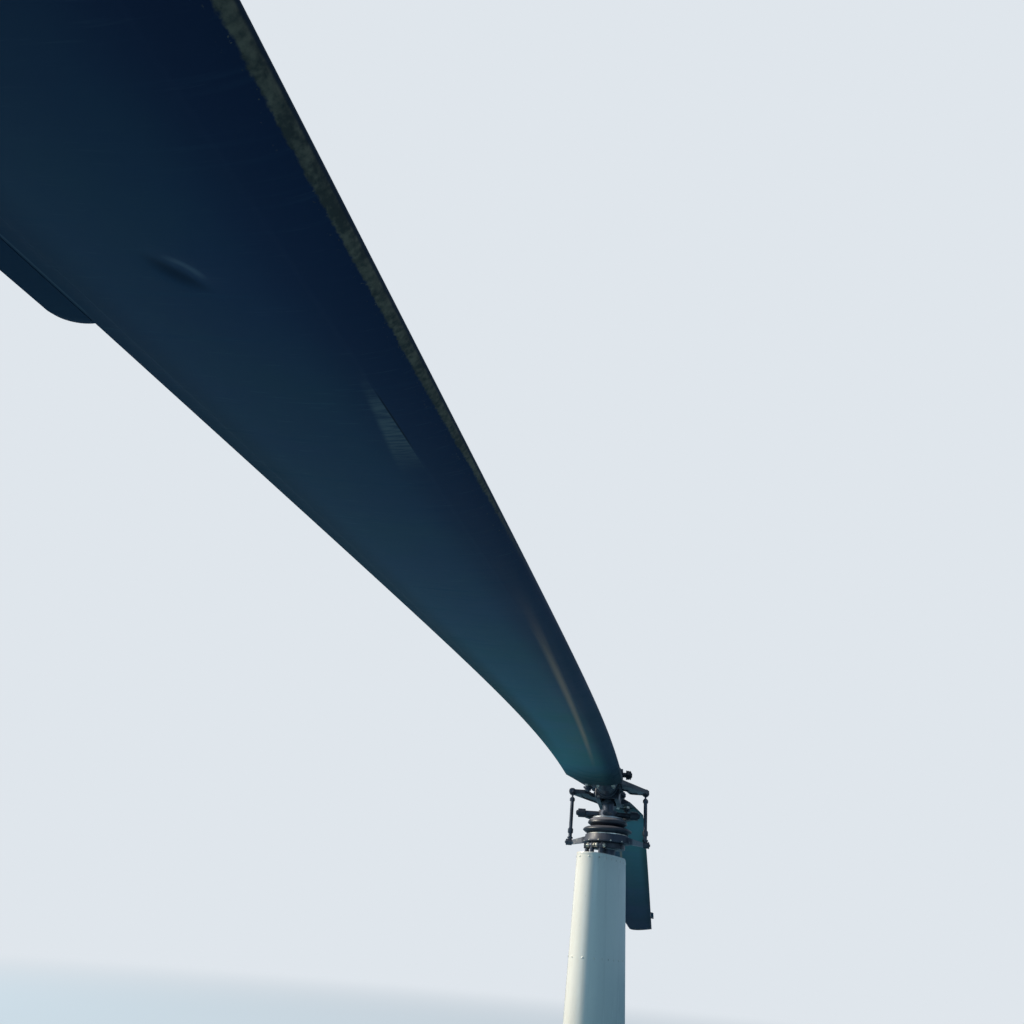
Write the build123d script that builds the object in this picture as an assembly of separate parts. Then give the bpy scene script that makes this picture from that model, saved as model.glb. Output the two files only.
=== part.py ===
from build123d import *
import math
import os

# Two-blade teetering main rotor of a light helicopter, from the mast's foot to the blade tips
# Lengths are in millimetres and angles in degrees
# The origin is the centre of the foot's underside, +Z runs up the mast and blade A lies along +X
# Levels are measured from the feathering plane, and each piece is lifted by HUB_HEIGHT as it is saved

# Rotor layout
ROTOR_RADIUS = 3835.0
HUB_HEIGHT = 950.0
FOOT = -HUB_HEIGHT
TEETER_RISE = 63.0
CONING_OFFSET = 70.0
COLLECTIVE_TRAVEL = 33.0
RUNNING_FIT = 0.05
SEAT_GAP = 0.3
BITE = 1.0

# Blade
LEADING_REACH = 62.4
TRAILING_REACH = 120.6
BLADE_THICKNESS = 27.5
ROOT_PITCH = 8.16
TIP_TWIST = -9.89
ROOT_SLOPE = 0.264
TIP_DROOP = 360.0
BEND_START = 60.0
BLADE_ROOT = 262.0
ROOT_THICKNESS = 42.0
ROOT_TRAILING = 93.0
FULL_CHORD_STATION = 415.0
TIP_TAPER_START = ROTOR_RADIUS - 235.0
TIP_LEADING = 43.0
TIP_CAP_LENGTH = 70.0
MAIN_STATIONS = 7

# Airfoil: half thickness at fractions of the chord, both as fractions of the whole
NOSE_AT, NOSE_HALF = 0.0125, 0.158
SHOULDER_AT, SHOULDER_HALF = 0.10, 0.39
CREST_AT, CREST_HALF = 0.30, 0.50
FALL_AT, FALL_HALF = 0.50, 0.441
TAIL_AT, TAIL_HALF = 0.70, 0.305
TRAILING_HALF = 0.02

# Trim tab
TAB_START = ROTOR_RADIUS - 695.0
TAB_LENGTH = 250.0
TAB_DEPTH = 18.0
TAB_THICKNESS = 1.4
TAB_ROUND = 16.0

# Mast, foot and drive shaft
MAST_RADIUS = 30.0
MAST_WALL = 4.0
MAST_TOP = -110.0
FOOT_RADIUS = 60.0
FOOT_THICKNESS = 14.0
FOOT_NECK_RADIUS = MAST_RADIUS + 9.0
FOOT_NECK_HEIGHT = 62.0
FOOT_BOLT_CIRCLE = 104.0
FOOT_BOLTS = 8
FOOT_BOLT_RADIUS = 4.5
GUSSET_THICKNESS = 6.0
GUSSET_HEIGHT = 34.0
GUSSET_REACH = 56.0
BEARING_WALL = 5.0
SHAFT_RADIUS = MAST_RADIUS - MAST_WALL - BEARING_WALL
SHAFT_DROP = 60.0
COUPLING_RADIUS = SHAFT_RADIUS - 3.0
SHAFT_HEAD_RADIUS = SHAFT_RADIUS + 4.0
SHAFT_HEAD_FLAT = 22.0
SHAFT_HEAD_START = -46.0
SHAFT_HEAD_TOP = 24.0
SHAFT_RECESS_RADIUS = 14.0
SHAFT_RECESS_DEPTH = 12.0
BEARING_HEIGHT = 18.0

# Mast fairing: a drop section with its nose turned from blade A, wider towards its base
FAIRING_TURN = -42.0
FAIRING_TOP = -228.0
FAIRING_BASE_HEIGHT = 45.0
FAIRING_WALL = 2.2
FAIRING_BULGE = 8.0
FAIRING_TAIL_HALF = 3.2
TAIL_FILL = 3.3
NOSE_SWEEP = 100.0
# Columns: nose centre ahead of the mast, nose radius, tail behind the mast
FAIRING_TOP_SECTION = (72.0, 55.0, 97.0)
FAIRING_BASE_SECTION = (91.0, 64.5, 120.0)
RIB_THICKNESS = 5.0
# Columns: rib, depth of its underside below the fairing's top, radius of its push rod holes
RIBS = (("base", HUB_HEIGHT - FOOT_NECK_HEIGHT - SEAT_GAP + FAIRING_TOP, 13.0),
        ("middle", 340.0, 13.0), ("top", 17.0, 8.4))
TAIL_HOLE_RADIUS = 12.0
TAIL_HOLE_SHARE = 0.55

# Push rods inside the fairing's nose
ROD_TURNS = (-28.0, 0.0, 28.0)
ROD_CIRCLE = 74.0
ROD_RADIUS = 8.0
ROD_FOOT = -34.0
ROD_EYE_RADIUS = 9.5
ROD_EYE_WIDTH = 10.0
ROD_BOLT_RADIUS = 4.0

# Swashplate
BALL_LEVEL = -178.0
BALL_RADIUS = 46.0
BALL_HALF_HEIGHT = 23.0
SLEEVE_WALL = 5.0
SLEEVE_TOP, SLEEVE_BASE = -150.0, -206.0
SWASH_BORE_RADIUS = MAST_RADIUS + SLEEVE_WALL + 2.0
SWASH_NECK_RADIUS = 60.0
SWASH_NECK_TOP = -158.0
LOWER_FLANGE_RADIUS = 66.0
LOWER_FLANGE_TOP, LOWER_FLANGE_BASE = -190.0, -204.0
LUG_LEVEL = -199.0
LUG_CHEEK = 5.0
LUG_GAP = 11.0
UPPER_TOP, UPPER_BASE = -158.0, -184.0
UPPER_TOP_RADIUS, UPPER_RIM_RADIUS = 79.0, 84.0
LOWER_JOINT_LEVEL = -185.0
BOLT_HEAD_RADIUS = 7.5
BOLT_HEAD_THICKNESS = 5.0
ARM_ROOT_Y = 66.0
ARM_ROOT_HEIGHT = 22.0
ARM_END = 15.4
STUD_HEAD_RADIUS = 9.0
STUD_HEAD_THICKNESS = 7.5

# Pitch links
LINK_X = 32.0
LINK_Y = 139.0
LINK_RADIUS = 6.5
LINK_LOWER_EYE = 11.0
LINK_LOWER_WIDTH = 14.0
LINK_PIN_RADIUS = 4.0
LINK_UPPER_BORE = 10.0
LINK_UPPER_EYE = 13.5
LINK_UPPER_WIDTH = 8.0
LINK_NECK_RADIUS = 3.4
LINK_UPPER_SHIFT_X = -1.5
LINK_UPPER_SHIFT_Y = -1.7
LINK_UPPER_SHIFT_Z = -1.0

# Boot between the swashplate and the shaft
BOOT_WALL = 2.0
CAP_LEVEL = -99.0
CAP_THICKNESS = 4.0
CAP_RADIUS = 56.0
# Columns: crown level and radius, level and radius halfway down the dome, rim level and radius
BOOT_DOMES = ((-99.3, 50.0, -105.0, 66.5, -117.0, 72.0), (-129.0, 57.0, -133.5, 80.5, -142.0, 89.0))
BOOT_FOOT = (-157.7, 70.0)

# Drive yoke on the shaft, its fork and its link
YOKE_LEVEL = -83.0
YOKE_RADIUS = SHAFT_RADIUS + 13.0
YOKE_HEIGHT = 24.0
YOKE_ARM_START = SHAFT_RADIUS + 8.0
YOKE_ARM_RADIUS = 9.5
YOKE_ARM_REACH = 83.0
FORK_PIN_RADIUS = 6.0
FORK_BOSS_RADIUS = 15.5
FORK_BOSS_WIDTH = 26.0
FORK_REACH = 100.0
FORK_BAR_RADIUS = 7.0
FORK_REST = math.degrees(math.asin(COLLECTIVE_TRAVEL / 2 / FORK_REACH))
DRIVE_PIN_RADIUS = 4.0
DRIVE_EYE_BORE = 6.5
DRIVE_EYE_RADIUS = 11.0
DRIVE_LINK_WIDTH = 12.0

# Hub, its bolts and the spindles
CHEEK_INSIDE = 27.0
CHEEK_THICKNESS = 16.0
BOSS_RADIUS = 26.0
BRIDGE_START, BRIDGE_END = 36.0, 48.0
BRIDGE_BASE, BRIDGE_TOP = 28.0, 52.0
STOP_X, STOP_LEVEL = 94.0, -32.0
STOP_RADIUS = 8.0
STOP_START = 87.0
STOP_BASE, STOP_TOP = -39.0, -26.0
STOP_INSET = 4.0
CHEEK_CHAMFER = 2.5
CONING_BOSS_RADIUS = 20.0
CONING_BOSS_LENGTH = 2.5
TEETER_BOSS_RADIUS = 22.0
TEETER_BOSS_LENGTH = 8.0
TEETER_BOLT_RADIUS = 9.0
TEETER_KNOB_RADIUS = 13.0
TEETER_KNOB_START, TEETER_KNOB_END = 63.0, 81.0
CONING_BOLT_RADIUS = 8.0
CONING_HEAD_RADIUS = 12.0
CONING_HEAD_THICKNESS = 11.0
TONGUE_HALF = 26.0
TONGUE_RADIUS = 24.0
COLLAR_START = 104.0
COLLAR_THICKNESS = 8.0
COLLAR_RADIUS = 38.0
COLLAR_CHAMFER = 2.0
STOP_GAP = 0.5
SHANK_RADIUS = 19.0
SHANK_END = 215.0
SEAL_BORE_RADIUS = 20.0

# Root grip and pitch horn
GRIP_START = 118.0
GRIP_RADIUS = 34.0
GRIP_RIM_RADIUS = 39.0
GRIP_RIM_LENGTH = 10.0
GRIP_RIM_CHAMFER = 2.0
GRIP_BARREL_END = 224.0
GRIP_WEB_START = 170.0
GRIP_WEB_LEADING, GRIP_WEB_TRAILING = 44.0, 76.0
HORN_PIN_LEVEL = -3.0
HORN_THICKNESS = 14.0
HORN_TIP_RADIUS = 14.8
HORN_BASE_START, HORN_BASE_END = 110.0, 240.0
HORN_BASE_Y = 52.0
HORN_BASE_RADIUS = 9.0
HORN_KNEE_X, HORN_KNEE_Y = 34.0, 92.0
HORN_SLOT = 21.4
HORN_SLOT_START = 122.0
HORN_CHEEK_RADIUS = 11.0
HORN_RIM = 6.0
HORN_POCKET_DEPTH = 3.5
HORN_POCKET_END = 108.0
HORN_PIN_RADIUS = 3.2
HORN_PIN_HEAD = 6.5

os.makedirs("parts", exist_ok=True)


def save(name, solid, turn=0.0):
    """Lift a piece from the feathering plane's frame to the foot's, turn it about the mast and write it."""
    placed = Pos(0, 0, HUB_HEIGHT) * Rot(0, 0, turn) * solid
    placed.label = name
    export_step(placed, f"parts/{name}.step")


def block(x, y, z):
    """A square-edged block from its lowest and highest x, y and z."""
    centre = [(low + high) / 2 for low, high in (x, y, z)]
    size = [high - low for low, high in (x, y, z)]
    return Pos(*centre) * Box(*size)


def bar(start, end, radius):
    """A round bar from one point to another."""
    along = Vector(*end) - Vector(*start)
    upright = Cylinder(radius, along.length, align=(Align.CENTER, Align.CENTER, Align.MIN))
    return Plane(origin=start, z_dir=along) * upright


def turned(*outline):
    """A ring about the mast, turned from (radius, level) points."""
    return revolve(make_face(Plane.XZ * Polyline(*outline, close=True)), Axis.Z)


def turned_along(*outline):
    """A ring about a blade's axis, turned from (station, radius) points."""
    return revolve(make_face(Plane.XZ * Polyline(*outline, close=True)), Axis.X)


def both_sides(solid):
    """A solid and its mirror image across the plane of the blades and the mast."""
    return solid + mirror(solid, Plane.XZ)


def blade_level(station):
    """How high the blade's axis runs at a station, sagging under its own weight like a cantilever."""
    share = max(station - BEND_START, 0) / (ROTOR_RADIUS - BEND_START)
    sag = TIP_DROOP * share ** 2 * (6 - 4 * share + share ** 2) / 3
    return math.tan(math.radians(ROOT_SLOPE)) * (station - BEND_START) - sag


def blade_plane(station):
    """The plane across the blade at a station, its x along the chord to the leading edge."""
    pitch = math.radians(ROOT_PITCH + TIP_TWIST * station / ROTOR_RADIUS)
    return Plane(origin=(station, 0, blade_level(station)),
                 x_dir=(0, math.cos(pitch), math.sin(pitch)), z_dir=(1, 0, 0))


def airfoil(station, leading, trailing, thickness):
    """One blade section: arcs round the nose and over the crest, then straight to the trailing edge."""
    chord = leading + trailing
    table = ((NOSE_AT, NOSE_HALF), (SHOULDER_AT, SHOULDER_HALF), (CREST_AT, CREST_HALF),
             (FALL_AT, FALL_HALF), (TAIL_AT, TAIL_HALF), (1.0, TRAILING_HALF))
    top = [(leading - at * chord, half * thickness) for at, half in table]
    under = [(x, -y) for x, y in top]
    outline = [ThreePointArc(under[0], (leading, 0), top[0])]
    for side in (top, under):
        outline.append(ThreePointArc(side[0], side[1], side[2]))
        outline.append(ThreePointArc(side[2], side[3], side[4]))
        outline.append(Line(side[4], side[5]))
    outline.append(Line(top[5], under[5]))
    return blade_plane(station) * make_face(outline)


def tip_leading(station):
    """Reach of the leading edge ahead of the axis, swept back over the tip."""
    share = max(station - TIP_TAPER_START, 0) / (ROTOR_RADIUS - TIP_TAPER_START)
    return LEADING_REACH + share * (TIP_LEADING - LEADING_REACH)


def tip_section(station):
    """The airfoil at a station of the tip, as thick for its chord as the rest of the blade."""
    leading = tip_leading(station)
    share = (leading + TRAILING_REACH) / (LEADING_REACH + TRAILING_REACH)
    return airfoil(station, leading, TRAILING_REACH, BLADE_THICKNESS * share)


def make_blade():
    """Blade: a thick root cut back to the trailing edge, a drooping twisted middle and a tapered tip."""
    root_start = airfoil(BLADE_ROOT + SEAT_GAP, LEADING_REACH, ROOT_TRAILING, ROOT_THICKNESS)
    root_end = airfoil(FULL_CHORD_STATION, LEADING_REACH, TRAILING_REACH, BLADE_THICKNESS)
    step = (TIP_TAPER_START - FULL_CHORD_STATION) / (MAIN_STATIONS - 1)
    stations = [FULL_CHORD_STATION + step * index for index in range(MAIN_STATIONS)]
    middle = [airfoil(station, LEADING_REACH, TRAILING_REACH, BLADE_THICKNESS) for station in stations]
    tip = [tip_section(station) for station in (TIP_TAPER_START, ROTOR_RADIUS - TIP_CAP_LENGTH)]
    return loft([root_start, root_end], ruled=True) + loft(middle) + loft(tip, ruled=True)


def make_tip_cap():
    """Cap that closes the blade's tip."""
    stations = (ROTOR_RADIUS - TIP_CAP_LENGTH + SEAT_GAP, ROTOR_RADIUS)
    return loft([tip_section(station) for station in stations], ruled=True)


def make_trim_tab():
    """Bent sheet tab behind the trailing edge, its two rear corners rounded."""
    start = TRAILING_REACH + SEAT_GAP
    width = TAB_DEPTH - SEAT_GAP
    strip = Pos(-start - width / 2, 0) * Rectangle(width, TAB_THICKNESS)
    ends = [blade_plane(station) * strip for station in (TAB_START, TAB_START + TAB_LENGTH)]
    tab = loft(ends, ruled=True)
    plan = Pos(TAB_START + TAB_LENGTH / 2, -TRAILING_REACH) * RectangleRounded(TAB_LENGTH, 2 * TAB_DEPTH,
                                                                              TAB_ROUND)
    return tab & Pos(0, 0, -TIP_DROOP) * extrude(plan, 2 * TIP_DROOP)


def horn_outline(grow=0.0):
    """Plan of the pitch horn: from its base along the grip to the pin beside the teeter axis, with a
    knee towards the hub."""
    base_start = Pos(HORN_BASE_START, HORN_BASE_Y) * Circle(HORN_BASE_RADIUS + grow)
    base_end = Pos(HORN_BASE_END, HORN_BASE_Y) * Circle(HORN_BASE_RADIUS + grow)
    tip = Pos(LINK_X, LINK_Y) * Circle(HORN_TIP_RADIUS + grow)
    knee = Pos(HORN_KNEE_X, HORN_KNEE_Y) * Circle(HORN_TIP_RADIUS + grow)
    return make_hull((base_start + base_end + tip).edges()) + make_hull((base_end + tip + knee).edges())


def horn_slab(grow=0.0):
    """The pitch horn's plate, as thick as the horn."""
    thickness = HORN_THICKNESS + 2 * grow
    return Pos(0, 0, HORN_PIN_LEVEL - thickness / 2) * extrude(horn_outline(grow), thickness)


def make_pitch_horn():
    """Horn with a forked tip, and the bolt that the pitch link's eye hangs on."""
    pin = (LINK_Y, HORN_PIN_LEVEL)
    half = HORN_TIP_RADIUS
    horn = horn_slab() + bar((LINK_X - half, *pin), (LINK_X + half, *pin), HORN_CHEEK_RADIUS)
    pocket = extrude(horn_outline(-HORN_RIM), HORN_THICKNESS)
    pocket &= block((0, HORN_BASE_END), (HORN_BASE_Y, HORN_POCKET_END), (0, HORN_THICKNESS))
    face = HORN_THICKNESS / 2 - HORN_POCKET_DEPTH
    horn -= Pos(0, 0, HORN_PIN_LEVEL + face) * pocket
    horn -= Pos(0, 0, HORN_PIN_LEVEL - face - HORN_THICKNESS) * pocket
    horn -= block((LINK_X - HORN_SLOT / 2, LINK_X + HORN_SLOT / 2),
                  (HORN_SLOT_START, LINK_Y + 2 * HORN_CHEEK_RADIUS),
                  (HORN_PIN_LEVEL - 2 * HORN_CHEEK_RADIUS, HORN_PIN_LEVEL + 2 * HORN_CHEEK_RADIUS))
    reach = half + BOLT_HEAD_THICKNESS
    horn += bar((LINK_X - reach, *pin), (LINK_X + reach, *pin), HORN_PIN_RADIUS)
    for side in (-1, 1):
        horn += bar((LINK_X + side * half, *pin), (LINK_X + side * reach, *pin), HORN_PIN_HEAD)
    return horn


def make_root_grip():
    """Grip: a barrel that turns on the spindle, and a web that widens into the blade's root."""
    bore = SHANK_RADIUS + RUNNING_FIT
    bottom = SHANK_END + GRIP_START - COLLAR_START - COLLAR_THICKNESS
    rim_end = GRIP_START + GRIP_RIM_LENGTH
    rim_edge = GRIP_RIM_RADIUS - GRIP_RIM_CHAMFER
    grip = turned_along((GRIP_START, 0), (GRIP_START, rim_edge),
                        (GRIP_START + GRIP_RIM_CHAMFER, GRIP_RIM_RADIUS),
                        (rim_end - GRIP_RIM_CHAMFER, GRIP_RIM_RADIUS), (rim_end, rim_edge),
                        (rim_end, GRIP_RADIUS), (GRIP_BARREL_END, GRIP_RADIUS),
                        (BLADE_ROOT, ROOT_THICKNESS / 2), (BLADE_ROOT, 0))
    web_start = airfoil(GRIP_WEB_START, GRIP_WEB_LEADING, GRIP_WEB_TRAILING, ROOT_THICKNESS)
    web_end = airfoil(BLADE_ROOT, LEADING_REACH, ROOT_TRAILING, ROOT_THICKNESS)
    grip += loft([web_start, web_end], ruled=True)
    pad_half = HORN_THICKNESS / 2 + SEAT_GAP
    grip += block((rim_end, GRIP_BARREL_END), (0, HORN_BASE_Y),
                  (HORN_PIN_LEVEL - pad_half, HORN_PIN_LEVEL + pad_half))
    grip -= horn_slab(SEAT_GAP)
    return grip - bar((0, 0, 0), (bottom, 0, 0), bore)


def make_root_seal():
    """Rubber seal between the spindle's collar and the grip."""
    start = COLLAR_START + COLLAR_THICKNESS + SEAT_GAP
    end = GRIP_START - SEAT_GAP
    return turned_along((start, SEAL_BORE_RADIUS), (start, COLLAR_RADIUS), (end, COLLAR_RADIUS),
                        (end, SEAL_BORE_RADIUS))


def make_spindle():
    """Spindle: a tongue on the coning bolt, a collar that rests on the hub's droop stops, and a shank."""
    centre = (CONING_OFFSET, 0, 0)
    collar_end = COLLAR_START + COLLAR_THICKNESS
    spindle = bar((CONING_OFFSET, -TONGUE_HALF, 0), (CONING_OFFSET, TONGUE_HALF, 0), TONGUE_RADIUS)
    spindle += block((CONING_OFFSET, COLLAR_START), (-TONGUE_HALF, TONGUE_HALF),
                     (-SHANK_RADIUS, SHANK_RADIUS))
    spindle += turned_along((COLLAR_START, 0), (COLLAR_START, COLLAR_RADIUS),
                            (collar_end - COLLAR_CHAMFER, COLLAR_RADIUS),
                            (collar_end, COLLAR_RADIUS - COLLAR_CHAMFER), (collar_end, 0))
    spindle += bar(centre, (SHANK_END, 0, 0), SHANK_RADIUS)
    bore = CONING_BOLT_RADIUS + RUNNING_FIT
    return spindle - bar((CONING_OFFSET, -2 * TONGUE_HALF, 0), (CONING_OFFSET, 2 * TONGUE_HALF, 0), bore)


def make_hub():
    """Hub: two cheeks that hang on the teeter bolt, two bridges and a droop stop under each blade."""
    outline = Pos(0, TEETER_RISE) * Circle(BOSS_RADIUS)
    for side in (-1, 1):
        outline += Pos(side * CONING_OFFSET, 0) * Circle(BOSS_RADIUS)
        outline += Pos(side * STOP_X, STOP_LEVEL) * Circle(STOP_RADIUS)
    cheek = extrude(Plane.XZ * make_hull(outline.edges()), CHEEK_THICKNESS)
    cheek = chamfer(cheek.faces().sort_by(Axis.Y)[0].edges(), CHEEK_CHAMFER)
    hub = Pos(0, -CHEEK_INSIDE, 0) * cheek
    cheek_far = CHEEK_INSIDE + CHEEK_THICKNESS
    for side in (-1, 1):
        hub += bar((side * CONING_OFFSET, BITE - cheek_far, 0),
                   (side * CONING_OFFSET, -cheek_far - CONING_BOSS_LENGTH, 0), CONING_BOSS_RADIUS)
    hub += bar((0, BITE - cheek_far, TEETER_RISE), (0, -cheek_far - TEETER_BOSS_LENGTH, TEETER_RISE),
               TEETER_BOSS_RADIUS)
    hub = both_sides(hub)
    for side in (-1, 1):
        bridge = sorted((side * BRIDGE_START, side * BRIDGE_END))
        hub += block(bridge, (-CHEEK_INSIDE - BITE, CHEEK_INSIDE + BITE), (BRIDGE_BASE, BRIDGE_TOP))
        stop = sorted((side * STOP_START, side * (COLLAR_START - STOP_GAP)))
        hub += block(stop, (STOP_INSET - cheek_far, cheek_far - STOP_INSET), (STOP_BASE, STOP_TOP))
    reach = TEETER_KNOB_START
    hub -= bar((0, -reach, TEETER_RISE), (0, reach, TEETER_RISE), TEETER_BOLT_RADIUS + RUNNING_FIT)
    for side in (-1, 1):
        x = side * CONING_OFFSET
        hub -= bar((x, -reach, 0), (x, reach, 0), CONING_BOLT_RADIUS + RUNNING_FIT)
    return hub


def make_cross_bolt(x, z, radius, head_radius, head_start, head_end):
    """A bolt across the hub with a round head at each end."""
    bolt = bar((x, -head_start, z), (x, head_start, z), radius)
    for side in (-1, 1):
        bolt += bar((x, side * head_start, z), (x, side * head_end, z), head_radius)
    return bolt


def make_shaft():
    """Drive shaft from its coupling under the foot to the flattened head that carries the hub."""
    chamfer = SHAFT_HEAD_RADIUS - SHAFT_RADIUS
    top = TEETER_RISE + SHAFT_HEAD_TOP
    shaft = turned((0, FOOT - SHAFT_DROP), (COUPLING_RADIUS, FOOT - SHAFT_DROP), (COUPLING_RADIUS, FOOT),
                   (SHAFT_RADIUS, FOOT), (SHAFT_RADIUS, SHAFT_HEAD_START),
                   (SHAFT_HEAD_RADIUS, SHAFT_HEAD_START + chamfer),
                   (SHAFT_HEAD_RADIUS, top - chamfer), (SHAFT_RADIUS, top), (SHAFT_RECESS_RADIUS, top),
                   (SHAFT_RECESS_RADIUS, top - SHAFT_RECESS_DEPTH), (0, top - SHAFT_RECESS_DEPTH))
    for side in (-1, 1):
        y = sorted((side * SHAFT_HEAD_FLAT, side * 2 * SHAFT_HEAD_RADIUS))
        shaft -= block((-SHAFT_HEAD_RADIUS, SHAFT_HEAD_RADIUS), y, (SHAFT_HEAD_START, top))
    reach = SHAFT_HEAD_RADIUS
    return shaft - bar((0, -reach, TEETER_RISE), (0, reach, TEETER_RISE), TEETER_BOLT_RADIUS + RUNNING_FIT)


def make_gusset():
    """Upright rib in the corner between the foot's flange and its neck."""
    root = MAST_RADIUS + RUNNING_FIT + BITE
    low = FOOT + FOOT_THICKNESS - BITE
    corner = make_face(Plane.XZ * Polyline((root, low), (GUSSET_REACH, low), (root, low + GUSSET_HEIGHT),
                                           close=True))
    return both_sides(extrude(corner, GUSSET_THICKNESS / 2))


def make_foot():
    """Bolted foot: a round flange, a neck that holds the mast tube, and a gusset between each two bolts."""
    inner = MAST_RADIUS - MAST_WALL
    socket = MAST_RADIUS + RUNNING_FIT
    neck_top = FOOT + FOOT_NECK_HEIGHT
    plate_top = FOOT + FOOT_THICKNESS
    lip = FOOT_NECK_RADIUS - MAST_RADIUS
    foot = turned((inner, FOOT), (FOOT_RADIUS, FOOT), (FOOT_RADIUS, plate_top),
                  (FOOT_NECK_RADIUS + lip / 2, plate_top), (FOOT_NECK_RADIUS, plate_top + lip),
                  (FOOT_NECK_RADIUS, neck_top - lip / 2), (FOOT_NECK_RADIUS - lip / 2, neck_top),
                  (socket, neck_top), (socket, plate_top), (inner, plate_top))
    gusset = make_gusset()
    hole = bar((FOOT_BOLT_CIRCLE / 2, 0, FOOT), (FOOT_BOLT_CIRCLE / 2, 0, plate_top), FOOT_BOLT_RADIUS)
    for index in range(FOOT_BOLTS):
        foot += Rot(0, 0, 360 * (index + 1 / 2) / FOOT_BOLTS) * gusset
        foot -= Rot(0, 0, 360 * index / FOOT_BOLTS) * hole
    return foot


def ring(inner, outer, base, top):
    """A plain ring about the mast."""
    return turned((inner, base), (outer, base), (outer, top), (inner, top))


def drop_outline(section, inset=0.0):
    """Plan of the fairing: a round nose, two bulged flanks and a narrow tail."""
    nose_at, nose_radius, tail_at = section
    radius = nose_radius - inset
    turn = math.radians(NOSE_SWEEP)
    shoulder = (nose_at + radius * math.cos(turn), radius * math.sin(turn))
    tail = (-tail_at + inset * TAIL_FILL, FAIRING_TAIL_HALF)
    flank = ((shoulder[0] + tail[0]) / 2, (shoulder[1] + tail[1]) / 2 + FAIRING_BULGE)
    under = [(x, -y) for x, y in (shoulder, flank, tail)]
    return make_face([ThreePointArc(under[0], (nose_at + radius, 0), shoulder),
                      ThreePointArc(shoulder, flank, tail), Line(tail, under[2]),
                      ThreePointArc(under[2], under[1], under[0])])


def fairing_section(share):
    """The fairing's three section sizes at a share of its height."""
    pairs = zip(FAIRING_BASE_SECTION, FAIRING_TOP_SECTION)
    return [base + share * (top - base) for base, top in pairs]


def fairing_level(share):
    """The level at a share of the fairing's height."""
    base = FOOT + FAIRING_BASE_HEIGHT
    return base + share * (FAIRING_TOP - base)


def make_fairing_shell():
    """Thin drop-shaped shell round the mast, open at both ends."""
    walls = []
    for inset in (0.0, FAIRING_WALL):
        ends = [Pos(0, 0, fairing_level(share)) * drop_outline(fairing_section(share), inset)
                for share in (0.0, 1.0)]
        walls.append(loft(ends, ruled=True))
    return walls[0] - walls[1]


def make_fairing_rib(depth, rod_hole):
    """Rib that holds the fairing to the mast, with holes for the push rods and a hole in its tail."""
    share = 1 - depth / (FAIRING_TOP - fairing_level(0.0))
    outline = drop_outline(fairing_section(share), FAIRING_WALL + SEAT_GAP)
    outline -= Circle(MAST_RADIUS + RUNNING_FIT)
    for turn in ROD_TURNS:
        outline -= Rot(0, 0, turn) * Pos(ROD_CIRCLE, 0) * Circle(rod_hole)
    tail_at = fairing_section(share)[2]
    outline -= Pos(-TAIL_HOLE_SHARE * tail_at, 0) * Circle(TAIL_HOLE_RADIUS)
    return Pos(0, 0, fairing_level(share)) * extrude(outline, RIB_THICKNESS)


def rod_eye(height, width, radius):
    """A push rod's upright eye, or its bore, turned about a line across the rod."""
    return bar((ROD_CIRCLE, -width / 2, height), (ROD_CIRCLE, width / 2, height), radius)


def make_push_rod():
    """Upright rod whose upper eye faces across the nose and whose lower eye faces away from the mast."""
    low = FOOT + ROD_FOOT
    span = LUG_LEVEL - low
    rod = bar((ROD_CIRCLE, 0, low), (ROD_CIRCLE, 0, LUG_LEVEL), ROD_RADIUS)
    beside_eye = block((ROD_CIRCLE - ROD_EYE_RADIUS, ROD_CIRCLE + ROD_EYE_RADIUS),
                       (ROD_EYE_WIDTH / 2, ROD_EYE_RADIUS),
                       (LUG_LEVEL - ROD_EYE_RADIUS, LUG_LEVEL + ROD_EYE_RADIUS))
    quarter_turn = Pos(ROD_CIRCLE, 0, 0) * Rot(0, 0, 90) * Pos(-ROD_CIRCLE, 0, -span)
    eye = rod_eye(LUG_LEVEL, ROD_EYE_WIDTH, ROD_EYE_RADIUS)
    bore = rod_eye(LUG_LEVEL, ROD_EYE_WIDTH, ROD_BOLT_RADIUS + RUNNING_FIT)
    cut = both_sides(beside_eye)
    rod = rod + eye + quarter_turn * eye
    return rod - cut - quarter_turn * cut - bore - quarter_turn * bore


def make_sleeve():
    """Sleeve that slides on the mast, with the ball that the swashplate rides on."""
    inner = MAST_RADIUS + RUNNING_FIT
    outer = MAST_RADIUS + SLEEVE_WALL
    ball = Pos(0, 0, BALL_LEVEL) * Sphere(BALL_RADIUS)
    ball = ball & ring(0, 2 * BALL_RADIUS, BALL_LEVEL - BALL_HALF_HEIGHT, BALL_LEVEL + BALL_HALF_HEIGHT)
    sleeve = ring(0, outer, SLEEVE_BASE, SLEEVE_TOP) + ball
    return sleeve - bar((0, 0, SLEEVE_BASE), (0, 0, SLEEVE_TOP), inner)


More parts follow.
